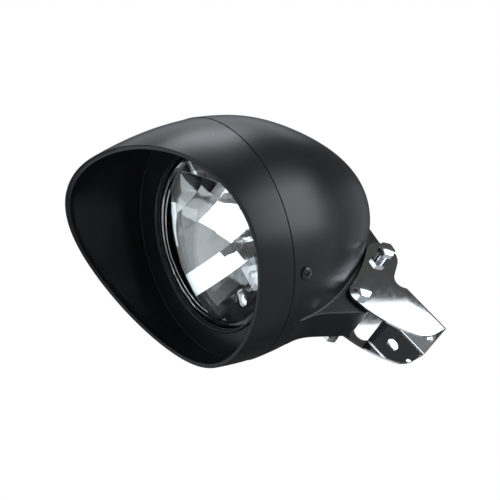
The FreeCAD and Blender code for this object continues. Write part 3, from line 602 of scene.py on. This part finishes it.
rim_points = [
    (reach_top, visor_radius(reach_top)), (reach_upper, visor_radius(reach_upper) / 2), (reach_side, 0),
    (reach_lower, -visor_radius(reach_lower) / 2), (reach_bottom, -visor_radius(reach_bottom))]


def end_way(first, second, third):
    """Direction at the first of three points, on the parabola through them."""
    a, b, c = (np.array(p) for p in (first, second, third))
    one = np.linalg.norm(b - a)
    two = np.linalg.norm(c - b)
    slope = (b - a) / one
    return slope - ((c - b) / two - slope) * one / (one + two)


rim_line = smooth_curve(rim_points, end_way(*rim_points[:3]), -end_way(*rim_points[:-4:-1]), 80)
rim_turn = np.arccos(np.clip(rim_line[:, 1] / visor_radius(rim_line[:, 0]), -1, 1))


def visor_profile(turn_from_top):
    """Closed section of the visor at one angle, as (radius, distance ahead of the seam)."""
    tip = np.interp(turn_from_top, rim_turn, rim_line[:, 0])
    lip = tip - lip_round
    outside = [(visor_radius(seam_gap) - seam_step - edge_round * (1 - math.sin(a)),
                seam_gap + edge_round * (1 - math.cos(a))) for a in quarter_turn]
    outside += [(visor_radius(y) - seam_step * max(1 - y / seam_fade, 0), y)
                for y in np.linspace(seam_gap + edge_round, lip, 30)[1:]]
    outer = visor_radius(lip) - lip_round
    inner = visor_radius(lip) - lip_wall + lip_round
    set_back = tip - np.interp(-inner * math.cos(turn_from_top), -rim_line[:, 1], rim_line[:, 0])
    edge = [(outer + lip_round * math.cos(a), lip + lip_round * math.sin(a)) for a in quarter_turn[1:]]
    edge += [(inner - lip_round * math.cos(a), lip + lip_round * math.sin(a) - set_back)
             for a in quarter_turn[:0:-1]]
    lip -= set_back
    inner_wall = visor_radius(shelf_face) - visor_wall
    down = np.concatenate([np.linspace(lip, lip - lip_depth, 9),
                           np.linspace(lip - lip_depth, shelf_face + shelf_corner, 18)[1:]])
    thicker = (lip_wall - visor_wall) * np.maximum(1 - (lip - down) / lip_depth, 0) ** 2
    inside = [(visor_radius(y) - visor_wall - more, y) for y, more in zip(down, thicker)]
    inside += [(inner_wall - shelf_corner * (1 - math.cos(a)), shelf_face + shelf_corner * (1 - math.sin(a)))
               for a in np.radians(np.arange(10, 91, 10))]
    bead = lens_opening_radius + bead_radius
    inside += [(r, shelf_face) for r in np.linspace(inner_wall - shelf_corner, bead + bead_radius, 5)[1:]]
    inside += [(bead + bead_radius * math.cos(a), shelf_face + bead_radius * math.sin(a))
               for a in np.linspace(0, math.pi, 12)[1:]]
    shelf_back = shelf_face - shelf_thickness
    spigot_front = np.interp(0, inner_y, inner_r) - spigot_gap
    spigot_rear = np.interp(spigot_length, inner_y, inner_r) - spigot_gap
    back = [(lens_opening_radius, shelf_back), (spigot_front - spigot_wall, shelf_back),
            (spigot_rear - spigot_wall, -spigot_length), (spigot_rear, -spigot_length),
            (spigot_front, seam_gap)]
    return outside + edge + inside + back


visor_steps = 240
visor_rings = []
for n in range(visor_steps):
    angle = 2 * math.pi * n / visor_steps
    from_top = min(angle, 2 * math.pi - angle)
    visor_rings.append([(r * math.sin(angle), axis_y - y, axis_z + r * math.cos(angle))
                        for r, y in visor_profile(from_top)])
visor = loft("visor_hood", visor_rings)
boss_circle = 86.0 * mm
boss_radius = 4.5 * mm
boss_bore_radius = 2.1 * mm
boss_bore_depth = 6.0 * mm
spigot_hole_depth = 9.0 * mm
ring_low, ring_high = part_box("lens_retaining_ring")
rear = Vector((0, 1, 0))
boss_turns = np.radians((0, 120, 240))
boss_places = [Vector((boss_circle * math.sin(a), ring_low.y, axis_z + boss_circle * math.cos(a)))
               for a in boss_turns]
boss = rear * (ring_low.y - (axis_y - shelf_face + shelf_thickness / 2))
carve(visor, "UNION", rods([(place - boss, boss, boss_radius) for place in boss_places]))
screw_bores = [(place - rear * boss_bore_depth, rear * (boss_bore_depth + mm), boss_bore_radius)
               for place in boss_places]
screw_bores += [(seat - way * spigot_hole_depth, way * spigot_hole_depth, screw_hole_radius)
                for seat, way in zip(screw_seats, screw_ways)]
carve(visor, "DIFFERENCE", rods(screw_bores))
shade(visor, 40)
finish(visor, "visor", matt_black)


# Lens seal: a flat ring cut from black rubber sheet, pressed between the shelf and the glass. Only its
# inner edge could be seen, so it keeps its CAD mesh and gets the rubber of the grommet.
def keep(node, material):
    """Gives a CAD node that stays as it is its material."""
    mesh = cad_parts[node].data
    mesh.materials.clear()
    mesh.materials.append(material)


keep("lens_seal", rubber)

# Lens glass: a clear pressed dome with a thick flat rim, held behind the shelf. The glass is clear
# enough to see the mirror through, with faint waves from the mould and a little wiped dust.
glass_low, glass_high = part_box("lens_glass")
glass_edge_radius = glass_high.x
glass_rim = 5.0 * mm
glass_face = glass_high.y - glass_rim
glass_thickness = 4.0 * mm
glass_gap = 0.6 * mm
dome_radius = lens_opening_radius - glass_gap


def dome_line(radius, edge_y, crown_y, steps):
    """Arc of a dome from its crown to its edge, as (radius, y) points."""
    height = edge_y - crown_y
    ball = (radius ** 2 + height ** 2) / (2 * height)
    spread = math.asin(radius / ball)
    return [(ball * math.sin(a), crown_y + ball - ball * math.cos(a)) for a in np.linspace(0, spread, steps)]


front_dome = dome_line(dome_radius, glass_face, glass_low.y, 40)
back_dome = dome_line(dome_radius - glass_thickness, glass_high.y, glass_low.y + glass_thickness, 40)
glass_rim_edge = [(glass_edge_radius, glass_face), (glass_edge_radius, glass_high.y)]
glass_profile = front_dome + glass_rim_edge + back_dome[::-1]
glass = new_piece("lens_dome", *turned(glass_profile, 192, closed=False))
shade(glass, 30)


def glass_finish(name, tint, wave_depth):
    """Clear glass with faint waves in it."""
    material, place, link = finish_of(name, Transmission_Weight=1.0, IOR=1.5, Base_Color=tint)
    wave = place.noise(60, 2)
    smear = place.noise(220, 5, 0.6)
    link(Roughness=0.05 * smear.between(0.62, 0.85),
         Normal=wave.bump(wave_depth, 0.3))
    return material


clear_glass = glass_finish("clear_glass", (0.97, 0.985, 0.98, 1), 0.05 * mm)
finish(glass, "lens_glass", clear_glass)

# Reflector: a pressed dish with a bright metal coating. Its face is broken into rows of stepped facets,
# broad above and narrow across the middle, with a hole for each bulb and a flat flange at the rim. A row
# has its lower and upper edge, the width of its facets in pitches, their shift, bend and lean.
reflector_low, reflector_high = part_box("reflector")
dish_face = reflector_low.y
dish_radius = 71.0 * mm
dish_depth = 58.0 * mm
dish_wall = 4.0 * mm
dish_curve = dish_depth / dish_radius ** 2
bulb_hole = 19.0 * mm
pilot_low, pilot_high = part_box("pilot_bulb")
pilot_x = (pilot_low.x + pilot_high.x) / 2
pilot_z = (pilot_low.z + pilot_high.z) / 2 - axis_z
pilot_hole = 7.05 * mm
pilot_bead_radius = 0.8 * mm
pilot_bead_out = 0.4 * mm
pilot_boss_radius = 9.5 * mm
pilot_boss_length = 8.0 * mm
neck_radius = 24.0 * mm
facet_pitch = dish_radius / 8
facet_rows = (
    (-71, -47, 2, 0, 0.6, -59), (-47, -29, 1, 0, 0.5, -35), (-29, -9, 1, 0, 0.5, -19),
    (-9, 13, 1, 0, 0.5, 6.5), (13, 28, 2, 0, 0.5, 26), (28, 44, 4, 0, 0.6, 34),
    (44, 57, 4, 10, 0.6, 51), (57, 71, 4, 10, 0.8, 64))


def facets():
    """Bounds of every facet across and up, the share of the dish's curve it keeps, the height it leans as."""
    for low, high, span, shift, bend, lean in facet_rows:
        width = span * facet_pitch
        for left in (n * width + shift * mm for n in range(-8 // span, 8 // span)):
            yield left, left + width, low * mm, high * mm, bend, lean * mm


def facet_height(facet, x, z):
    """Distance of one facet's face behind the dish's rim."""
    left, right, low, high, bend, lean = facet
    mid_x, mid_z = (left + right) / 2, (low + high) / 2
    dx, dz = x - mid_x, z - mid_z
    return dish_depth - dish_curve * (
        mid_x ** 2 + mid_z ** 2 + 2 * (mid_x * dx + lean * dz) + bend * (dx ** 2 + dz ** 2))


def dish_height(x, z):
    """Distance of the plain dish behind its rim."""
    return dish_depth - dish_curve * (x ** 2 + z ** 2)


def dish_skin():
    """Points and faces of the dish between its rim and its holes: stepped facets, closed by a back skin."""
    across = np.linspace(-dish_radius, dish_radius, 16 * 3 + 1)
    rows = [np.linspace(low, high, 5)[:-1] for low, high, *_ in facet_rows]
    up = np.concatenate(rows + [[facet_rows[-1][1]]]) * mm
    rims = ((0, 0, dish_radius), (0, 0, bulb_hole), (pilot_x, pilot_z, pilot_hole))
    all_facets = list(facets())
    cells = {}
    edges = {}
    for i in range(len(across) - 1):
        for j in range(len(up) - 1):
            x, z = across[i:i + 2].mean(), up[j:j + 2].mean()
            if math.hypot(x, z) > dish_radius or any(math.hypot(x - a, z - b) < r for a, b, r in rims[1:]):
                continue
            facet = next(n for n, f in enumerate(all_facets) if f[0] < x < f[1] and f[2] < z < f[3])
            corners = [(i, j), (i + 1, j), (i + 1, j + 1), (i, j + 1)]
            cells[i, j] = corners, facet
            for one, two in zip(corners, corners[1:] + corners[:1]):
                edges.setdefault(frozenset((one, two)), []).append(facet)
    border = [tuple(edge) for edge, found in edges.items() if len(found) == 1]
    on_border = {corner for edge in border for corner in edge}

    def spot(corner):
        x, z = across[corner[0]], up[corner[1]]
        if corner in on_border:
            a, b, r = min(rims, key=lambda rim: abs(math.hypot(x - rim[0], z - rim[1]) - rim[2]))
            share = r / math.hypot(x - a, z - b)
            x, z = a + (x - a) * share, b + (z - b) * share
        return x, z

    points = []
    number = {}

    def point(corner, facet):
        if (corner, facet) not in number:
            x, z = spot(corner)
            depth = dish_height(x, z) + dish_wall if facet is None else facet_height(all_facets[facet], x, z)
            number[corner, facet] = len(points)
            points.append((x, dish_face + depth, axis_z + z))
        return number[corner, facet]

    faces = []
    for corners, facet in cells.values():
        faces.append([point(corner, facet) for corner in corners])
        faces.append([point(corner, None) for corner in reversed(corners)])
    for edge, found in edges.items():
        one, two = edge
        first, last = (found + [None])[:2]
        if first != last:
            faces.append([point(one, first), point(two, first), point(two, last), point(one, last)])
    return points, faces


def joined(*shells):
    """Points and faces of several shells as one."""
    points = []
    faces = []
    for shell_points, shell_faces in shells:
        faces += [tuple(len(points) + n for n in face) for face in shell_faces]
        points += shell_points
    return points, faces


def four_corners(inner, outer, front, back):
    """Section of a plain turned ring."""
    return [(inner, front), (outer, front), (outer, back), (inner, back)]


insert_radius = 78.0 * mm
flange_wall = 1.5 * mm
flange_overlap = 0.6 * mm
flange_edge = 0.3 * mm
neck_overlap = 1.0 * mm
rim_bead = 0.9 * mm
rim_bead_in = 0.3 * mm
rim_bead_back = 0.7 * mm
flange_inside = dish_radius - flange_overlap
flange = rounded(four_corners(flange_inside, insert_radius, dish_face, dish_face + flange_wall), flange_edge)
neck_front = dish_face + dish_height(bulb_hole, 0) + neck_overlap
neck = four_corners(bulb_hole, neck_radius, neck_front, reflector_high.y)
boss_front = dish_face + dish_height(pilot_x, pilot_z) + dish_wall
pilot_boss = four_corners(pilot_hole, pilot_boss_radius, boss_front, boss_front + pilot_boss_length)
rolled_rim = [(dish_radius - rim_bead_in + rim_bead * math.cos(a),
               dish_face + rim_bead_back + rim_bead * math.sin(a))
              for a in np.linspace(0, 2 * math.pi, 16, endpoint=False)]


def pilot_bead(radius, bead):
    """Points and faces of the rolled edge of the pilot bulb's hole, which follows the slope of the dish."""
    points = []
    for a in np.linspace(0, 2 * math.pi, 48, endpoint=False):
        out = np.array((math.cos(a), 0, math.sin(a)))
        x, z = pilot_x + radius * out[0], pilot_z + radius * out[2]
        middle = np.array((x, dish_face + dish_height(x, z), axis_z + z))
        points += [tuple(middle + bead * (out * math.cos(b) + np.array((0, math.sin(b), 0))))
                   for b in np.linspace(0, 2 * math.pi, 12, endpoint=False)]
    return points, ring_faces(48, 12)


reflector = new_piece("faceted_dish", *joined(
    dish_skin(), turned(flange, 128), turned(rolled_rim, 128), turned(neck, 64),
    turned(pilot_boss, 48, (pilot_x, axis_z + pilot_z)),
    pilot_bead(pilot_hole + pilot_bead_out, pilot_bead_radius)))
shade(reflector, 3.5)


def mirror_finish():
    """Bright metal coating under lacquer, with a faint ripple and a haze in patches."""
    material, place, link = finish_of("mirror", Metallic=1.0)
    haze = place.noise(45, 4)
    ripple = place.noise(420, 2)
    link(Base_Color=haze.mix((0.86, 0.87, 0.885, 1), (0.94, 0.945, 0.95, 1)),
         Roughness=0.02 + 0.06 * haze.between(0.4, 0.8),
         Normal=ripple.bump(0.02 * mm, 0.35))
    return material


mirror = mirror_finish()
finish(reflector, "reflector", mirror)


# Retaining ring and its screws: a zinc-plated steel ring presses reflector, glass and seal against
# the shelf, held by three pan-head screws with a cross recess, driven from behind.
def plated_metal(name, dark, light, rough, spread, grain):
    """Plated or bare metal: patches of two shades, uneven gloss, a grain of so many cells to the metre."""
    material, place, link = finish_of(name, Metallic=1.0)
    patch = place.noise(130, 4)
    fine = place.noise(grain, 3, 0.6)
    link(Base_Color=(patch * 0.7 + fine * 0.3).between(0.3, 0.7).mix(dark, light),
         Roughness=rough + spread * patch.between(0.3, 0.75),
         Normal=fine.bump(0.008 * mm, 0.35))
    return material


zinc = plated_metal("zinc", (0.70, 0.715, 0.73, 1), (0.82, 0.83, 0.84, 1), 0.07, 0.08, 900)
keep("lens_retaining_ring", zinc)


def shape_tree(name, sizes):
    """Geometry node tree that sets one shape on points. Gives the tree and its inputs by name."""
    tree = bpy.data.node_groups.new(name, "GeometryNodeTree")
    tree.interface.new_socket("Points", in_out="INPUT", socket_type="NodeSocketGeometry")
    for size in sizes:
        tree.interface.new_socket(size, in_out="INPUT", socket_type="NodeSocketFloat")
    tree.interface.new_socket("Finish", in_out="INPUT", socket_type="NodeSocketMaterial")
    tree.interface.new_socket("Shape", in_out="OUTPUT", socket_type="NodeSocketGeometry")
    entry = tree.nodes.new("NodeGroupInput")
    return tree, {socket.name: Field(tree, socket) for socket in entry.outputs if socket.name}


def drum(start, radius, low, high, sides=48):
    """Upright cylinder between two heights."""
    shape = start.node("GeometryNodeMeshCylinder", {}, {
        "Vertices": sides, "Radius": radius, "Depth": high - low})
    return lifted(shape, (low + high) * 0.5)


def lifted(shape, height):
    """A shape moved up."""
    place = shape.node("ShaderNodeCombineXYZ", {}, {"Z": height})
    return shape.node("GeometryNodeTransform", {}, {"Geometry": shape, "Translation": place})


def cut(shape, *tools):
    """A shape with others cut out of it."""
    return shape.node("GeometryNodeMeshBoolean", {"operation": "DIFFERENCE", "solver": "EXACT"},
                      {"Mesh 1": shape, "Mesh 2": list(tools)})


def common(*shapes):
    """What several shapes have in common."""
    return shapes[0].node("GeometryNodeMeshBoolean", {"operation": "INTERSECT", "solver": "EXACT"},
                          {"Mesh 2": list(shapes)})


def thread(start, radius, pitch, low, length):
    """Screw thread: a three-cornered ridge wound on a spiral."""
    core = radius - pitch * 0.42
    spiral = start.node("GeometryNodeCurveSpiral", {}, {
        "Resolution": 28, "Rotations": length / pitch,
        "Start Radius": core, "End Radius": core, "Height": length})
    ridge = start.node("GeometryNodeCurvePrimitiveCircle", {}, {"Resolution": 3, "Radius": pitch * 0.46})
    wound = start.node("GeometryNodeCurveToMesh", {}, {
        "Curve": spiral, "Profile Curve": ridge, "Fill Caps": True})
    return lifted(wound, low)


def set_on_points(tree, inputs, shapes):
    """Joins the shapes, sets them on the points, turned to each point's way and side, and ends the tree."""
    start = inputs["Points"]
    whole = start.node("GeometryNodeJoinGeometry", {}, {"Geometry": list(shapes)})
    way = start.node("GeometryNodeInputNamedAttribute", {"data_type": "FLOAT_VECTOR"}, {"Name": "way"})
    side = start.node("GeometryNodeInputNamedAttribute", {"data_type": "FLOAT_VECTOR"}, {"Name": "side"})
    lean = start.node("FunctionNodeAlignRotationToVector", {"axis": "Z"}, {"Vector": way})
    spin = start.node("FunctionNodeAlignRotationToVector", {"axis": "X", "pivot_axis": "Z"},
                      {"Rotation": lean, "Vector": side})
    copies = start.node("GeometryNodeInstanceOnPoints", {}, {
        "Points": start, "Instance": whole, "Rotation": spin})
    real = start.node("GeometryNodeRealizeInstances", {}, {"Geometry": copies})
    done = start.node("GeometryNodeSetMaterial", {}, {"Geometry": real, "Material": inputs["Finish"]})
    tree.links.new(done.socket, tree.nodes.new("NodeGroupOutput").inputs["Shape"])


def grow(name, tree, places, material, **sizes):
    """Piece made by a tree at places given as point, way and side."""
    mesh = bpy.data.meshes.new(name)
    mesh.from_pydata([tuple(place[0]) for place in places], [], [])
    for label, column in (("way", 1), ("side", 2)):
        turns = mesh.attributes.new(label, "FLOAT_VECTOR", "POINT")
        for entry, place in zip(turns.data, places):
            entry.vector = place[column]
    piece = bpy.data.objects.new(name, mesh)
    scene.collection.objects.link(piece)
    work = piece.modifiers.new("grow", "NODES")
    work.node_group = tree
    values = dict(sizes, Finish=material)
    for socket in tree.interface.items_tree:
        if socket.in_out == "INPUT" and socket.name in values:
            work[socket.identifier] = values[socket.name]
    settle(piece)
    shade(piece, 30)
    return piece


def pan_screw_tree():
    """Pan-head screw with a cross recess, its seat at the point and its head along the way."""
    tree, inputs = shape_tree("pan_screw", ("Diameter", "Length"))
    size, length = inputs["Diameter"], inputs["Length"]
    head_height, crown = size * 0.65, size * 1.734
    ball = size.node("GeometryNodeMeshUVSphere", {}, {"Segments": 48, "Rings": 48, "Radius": crown})
    head = common(drum(size, size * 0.975, size * 0.0, head_height), lifted(ball, head_height - crown))
    recess_span, recess_width = size * 1.1, size * 0.225
    slots = []
    for x, y in ((recess_span, recess_width), (recess_width, recess_span)):
        span = size.node("ShaderNodeCombineXYZ", {}, {"X": x, "Y": y, "Z": head_height})
        slots.append(lifted(size.node("GeometryNodeMeshCube", {}, {"Size": span}), head_height))
    pitch = size * 0.18
    shank = drum(size, size * 0.41, length * -1.0, size * 0.05, 32)
    ridge = thread(size, size * 0.5, pitch, length * -1.0, length)
    set_on_points(tree, inputs, [cut(head, *slots), shank, ridge])
    return tree


pan_screw = pan_screw_tree()
ring_depth = rear * (ring_high.y - ring_low.y)
slant = Vector((1, 0, 1))
ring_screws = grow("ring_screws", pan_screw, [(place + ring_depth, rear, slant) for place in boss_places],
                   zinc, Diameter=4.0 * mm, Length=6.0 * mm)
finish(ring_screws, "retaining_screws")

# Main bulb: a clear glass tube with a rounded tip on a steel collar, its two filaments on thin posts,
# and behind the collar a ceramic base with three brass blades. A wire clip holds the collar, a rubber
# boot covers the base, and a plastic connector sits on the blades.
bulb_low, bulb_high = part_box("bulb_glass")
bulb_wall = 1.0 * mm
bulb_round = 6.5 * mm
bulb_steps = np.radians(np.linspace(0, 90, 14))


def bulb_outline(radius, tip, round_length, end):
    """Bulb from the middle of its tip to its end, as (radius, y) points."""
    tip_line = [(radius * math.sin(a), tip + round_length * (1 - math.cos(a))) for a in bulb_steps]
    return tip_line + [(radius, y) for y in np.linspace(tip + round_length, end, 8)[1:]]


def bulb_tube(name, centre, radius, tip, end, wall, round_length, steps):
    """Glass tube of a bulb, with its wall, from its rounded tip to its open end."""
    outer = bulb_outline(radius, tip, round_length, end)
    inner = bulb_outline(radius - wall, tip + wall, round_length - wall, end)
    tube = new_piece(name, *turned(outer + inner[::-1], steps, centre, closed=False))
    shade(tube, 40)
    return tube


bulb = bulb_tube("bulb_tube", (0.0, axis_z), bulb_high.x, bulb_low.y, bulb_high.y, bulb_wall, bulb_round, 64)
bulb_glass = glass_finish("bulb_glass", (0.98, 0.985, 0.985, 1), 0.03 * mm)
finish(bulb, "bulb_glass", bulb_glass)
tungsten = plated_metal("tungsten", (0.30, 0.30, 0.31, 1), (0.46, 0.46, 0.47, 1), 0.30, 0.2, 3000)
cap_steel = plated_metal("cap_steel", (0.55, 0.55, 0.55, 1), (0.70, 0.70, 0.69, 1), 0.22, 0.16, 1200)
brass = plated_metal("brass", (0.62, 0.47, 0.20, 1), (0.76, 0.60, 0.30, 1), 0.24, 0.18, 1100)
spring_steel = plated_metal("spring_steel", (0.40, 0.40, 0.42, 1), (0.58, 0.58, 0.60, 1), 0.20, 0.15, 1600)
keep("bulb_filaments", tungsten)
keep("bulb_collar", cap_steel)
keep("bulb_terminals", brass)
keep("bulb_clip", spring_steel)
keep("dust_boot", rubber)


def ceramic_finish():
    """Off-white unglazed ceramic with fine pits and a few grey marks."""
    material, place, link = finish_of("insulator")
    stain = place.noise(210, 5, 0.6)
    pit = place.noise(1800, 3)
    link(Base_Color=stain.between(0.35, 0.8).mix((0.66, 0.63, 0.57, 1), (0.45, 0.43, 0.40, 1)),
         Roughness=0.5 + 0.25 * pit, Normal=pit.bump(0.03 * mm, 0.5))
    return material


def plastic_finish():
    """Black moulded plastic with a slight gloss and spark-worn grain."""
    material, place, link = finish_of("black_plastic", IOR=1.5)
    patch = place.noise(90, 3)
    grain = place.noise(2200, 2)
    link(Base_Color=patch.mix((0.012, 0.012, 0.013, 1), (0.024, 0.024, 0.026, 1)),
         Roughness=0.36 + 0.14 * grain, Normal=grain.bump(0.02 * mm, 0.5))
    return material


black_plastic = plastic_finish()
keep("bulb_base", ceramic_finish())
keep("bulb_connector", black_plastic)

# Pilot bulb and its holder: a small capless bulb of clear glass, pushed into a twist-in socket of black
# plastic below the main bulb.
pilot_radius = (pilot_high.x - pilot_low.x) / 2
pilot_wall = 0.7 * mm
pilot_round = 4.4 * mm
pilot = bulb_tube("pilot_tube", (pilot_x, axis_z + pilot_z), pilot_radius, pilot_low.y, pilot_high.y,
                  pilot_wall, pilot_round, 48)
finish(pilot, "pilot_bulb", bulb_glass)
keep("pilot_holder", black_plastic)


# Visor screws and their nuts: a black-finished pan-head screw each side of the bottom passes through
# bowl and spigot into a square zinc-plated nut inside.
def black_screw_finish():
    """Black-finished steel, slightly glossy, with the finish worn towards brown in patches."""
    material, place, link = finish_of("black_screw", Metallic=0.7)
    wear = place.noise(420, 4)
    link(Base_Color=wear.between(0.45, 0.8).mix((0.022, 0.022, 0.023, 1), (0.060, 0.056, 0.052, 1)),
         Roughness=0.30 + 0.16 * wear, Normal=wear.bump(0.012 * mm, 0.4))
    return material


def square_nut_tree():
    """Square nut with a round bore, its outer face at the point."""
    tree, inputs = shape_tree("square_nut", ("Diameter", "Width", "Height"))
    width, height, bore = inputs["Width"], inputs["Height"], inputs["Diameter"] * 0.5
    span = width.node("ShaderNodeCombineXYZ", {}, {"X": width, "Y": width, "Z": height})
    block = lifted(width.node("GeometryNodeMeshCube", {}, {"Size": span}), height * -0.5)
    set_on_points(tree, inputs, [cut(block, drum(width, bore, height * -1.5, height * 0.5))])
    return tree


visor_screws = grow("visor_pan_screws", pan_screw,
                    [(seat, way, rear) for seat, way in zip(screw_seats, screw_ways)],
                    black_screw_finish(), Diameter=5.0 * mm, Length=11.6 * mm)
finish(visor_screws, "visor_screws")
nut_half = 4.0 * mm
nut_face = (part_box("visor_screw_nuts")[1].x - nut_half * math.cos(screw_angle)) / math.sin(screw_angle)
nut_centre = Vector((0, axis_y + screw_setback, axis_z))
square_nuts = grow("spigot_nuts", square_nut_tree(),
                   [(nut_centre + way * nut_face, way, rear) for way in screw_ways],
                   zinc, Diameter=5.2 * mm, Width=2 * nut_half, Height=4.0 * mm)
finish(square_nuts, "visor_screw_nuts")


# Bracket: a U bent from 2 mm steel sheet, polished and chromed, with two shaped flanges and a web.
# Its cut edges are slightly rounded by the polishing.
def from_cad(name, node, edge):
    """Copy of a CAD node with its triangles merged to whole faces and its edges rounded."""
    work = bmesh.new()
    work.from_mesh(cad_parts[node].data)
    bmesh.ops.remove_doubles(work, verts=work.verts, dist=0.003 * mm)
    bmesh.ops.dissolve_limit(work, angle_limit=math.radians(0.6), verts=work.verts, edges=work.edges)
    work.verts.index_update()
    points = [tuple(vertex.co) for vertex in work.verts]
    faces = [[vertex.index for vertex in face.verts] for face in work.faces]
    work.free()
    piece = new_piece(name, points, faces)
    piece.data.shade_smooth()
    bevel = piece.modifiers.new("edges", "BEVEL")
    bevel.width = edge
    bevel.segments = 2
    bevel.limit_method = "ANGLE"
    bevel.angle_limit = math.radians(35)
    bevel.harden_normals = True
    settle(piece)
    return piece


def chrome_finish():
    """Bright chrome over polished steel: fine drawn grain, faint waves and a light haze."""
    material, place, link = finish_of("chrome", Metallic=1.0)
    wave = place.noise(38, 2)
    haze = place.noise(210, 4, 0.6)
    grain = place.stretched(1, 0.25, 1).noise(2400, 2)
    link(Base_Color=haze.mix((0.66, 0.67, 0.68, 1), (0.74, 0.75, 0.76, 1)),
         Roughness=0.03 + 0.04 * haze.between(0.3, 0.8),
         Normal=(wave * 0.8 + grain).bump(0.006 * mm, 0.4))
    return material


bracket = from_cad("u_bracket", "bracket", 0.35 * mm)
finish(bracket, "bracket", chrome_finish())


# Bracket bolts, nuts and washers: M8 hex bolts of zinc-plated steel through bracket and foot, a nut
# on each on the far side, and a washer under each nut. The upper bolt is not driven home.
def hexagon(start, flats, low, high):
    """Six-sided bar between two heights, with a corner on the side way."""
    return drum(start, flats * (1 / math.sqrt(3)), low, high, 6)


def chamfer(start, flats, height, end="Radius Top", other="Radius Bottom"):
    """Cone that takes the corners off one end of a hexagon, at 30 degrees."""
    narrow = flats * 0.475
    wide = narrow + height * math.sqrt(3)
    return start.node("GeometryNodeMeshCone", {}, {"Vertices": 64, end: narrow, other: wide, "Depth": height})


def hex_bolt_tree():
    """Hex bolt, the underside of its head at the point and its slightly domed head along the way."""
    tree, inputs = shape_tree("hex_bolt", ("Diameter", "Length", "Flats", "Head", "Thread"))
    size, length, flats = inputs["Diameter"], inputs["Length"], inputs["Flats"]
    head, wound = inputs["Head"], inputs["Thread"]
    dome = flats * 3.0
    ball = size.node("GeometryNodeMeshUVSphere", {}, {"Segments": 96, "Rings": 64, "Radius": dome})
    top = common(hexagon(size, flats, head * 0.0, head), chamfer(size, flats, head),
                 lifted(ball, head - dome))
    plain = drum(size, size * 0.5, wound - length, head * 0.05)
    core = drum(size, size * 0.42, length * -1.0, wound * 1.02 - length)
    ridge = thread(size, size * 0.5, size * 0.156, length * -1.0 + size * 0.08, wound)
    set_on_points(tree, inputs, [top, plain, core, ridge])
    return tree


def hex_nut_tree():
    """Hex nut with a round bore and both ends chamfered, standing on the point."""
    tree, inputs = shape_tree("hex_nut", ("Diameter", "Flats", "Height"))
    flats, height, bore = inputs["Flats"], inputs["Height"], inputs["Diameter"] * 0.5
    under = chamfer(flats, flats, height, "Radius Bottom", "Radius Top")
    body = common(hexagon(flats, flats, height * 0.0, height), chamfer(flats, flats, height), under)
    set_on_points(tree, inputs, [cut(body, drum(flats, bore, height * -0.5, height * 1.5))])
    return tree


def washer_tree():
    """Flat washer standing on the point."""
    tree, inputs = shape_tree("washer", ("Bore", "Rim", "Thickness"))
    thickness = inputs["Thickness"]
    disc = drum(thickness, inputs["Rim"], thickness * 0.0, thickness, 64)
    bore = drum(thickness, inputs["Bore"], thickness * -0.5, thickness * 1.5)
    set_on_points(tree, inputs, [cut(disc, bore)])
    return tree


bolt_head = 5.3 * mm
bolt_flats = 13.0 * mm
hex_bolt = hex_bolt_tree()
hex_nut = hex_nut_tree()
corner_way = Vector((0, 0, 1))
for name, (y, drop) in (("lower", lower_bolt), ("upper", upper_bolt)):
    on_axis = Vector((0, axis_y + y, axis_z - drop))
    low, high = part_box(name + "_bolt")
    seat = high.x - bolt_head
    bolt = grow(name + "_hex_bolt", hex_bolt, [(on_axis + across * seat, across, corner_way)], zinc,
                Diameter=8.0 * mm, Length=seat - low.x, Flats=bolt_flats, Head=bolt_head, Thread=26.0 * mm)
    finish(bolt, name + "_bolt")
    low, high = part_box(name + "_nut")
    nut = grow(name + "_hex_nut", hex_nut, [(on_axis + across * high.x, -across, corner_way)], zinc,
               Diameter=8.1 * mm, Flats=bolt_flats, Height=high.x - low.x)
    finish(nut, name + "_nut")
low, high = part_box("nut_washers")
washer_places = [(Vector((high.x, axis_y + y, axis_z - drop)), -across, corner_way)
                 for y, drop in (lower_bolt, upper_bolt)]
washers = grow("flat_washers", washer_tree(), washer_places, zinc,
               Bore=4.2 * mm, Rim=8.0 * mm, Thickness=high.x - low.x)
finish(washers, "nut_washers")
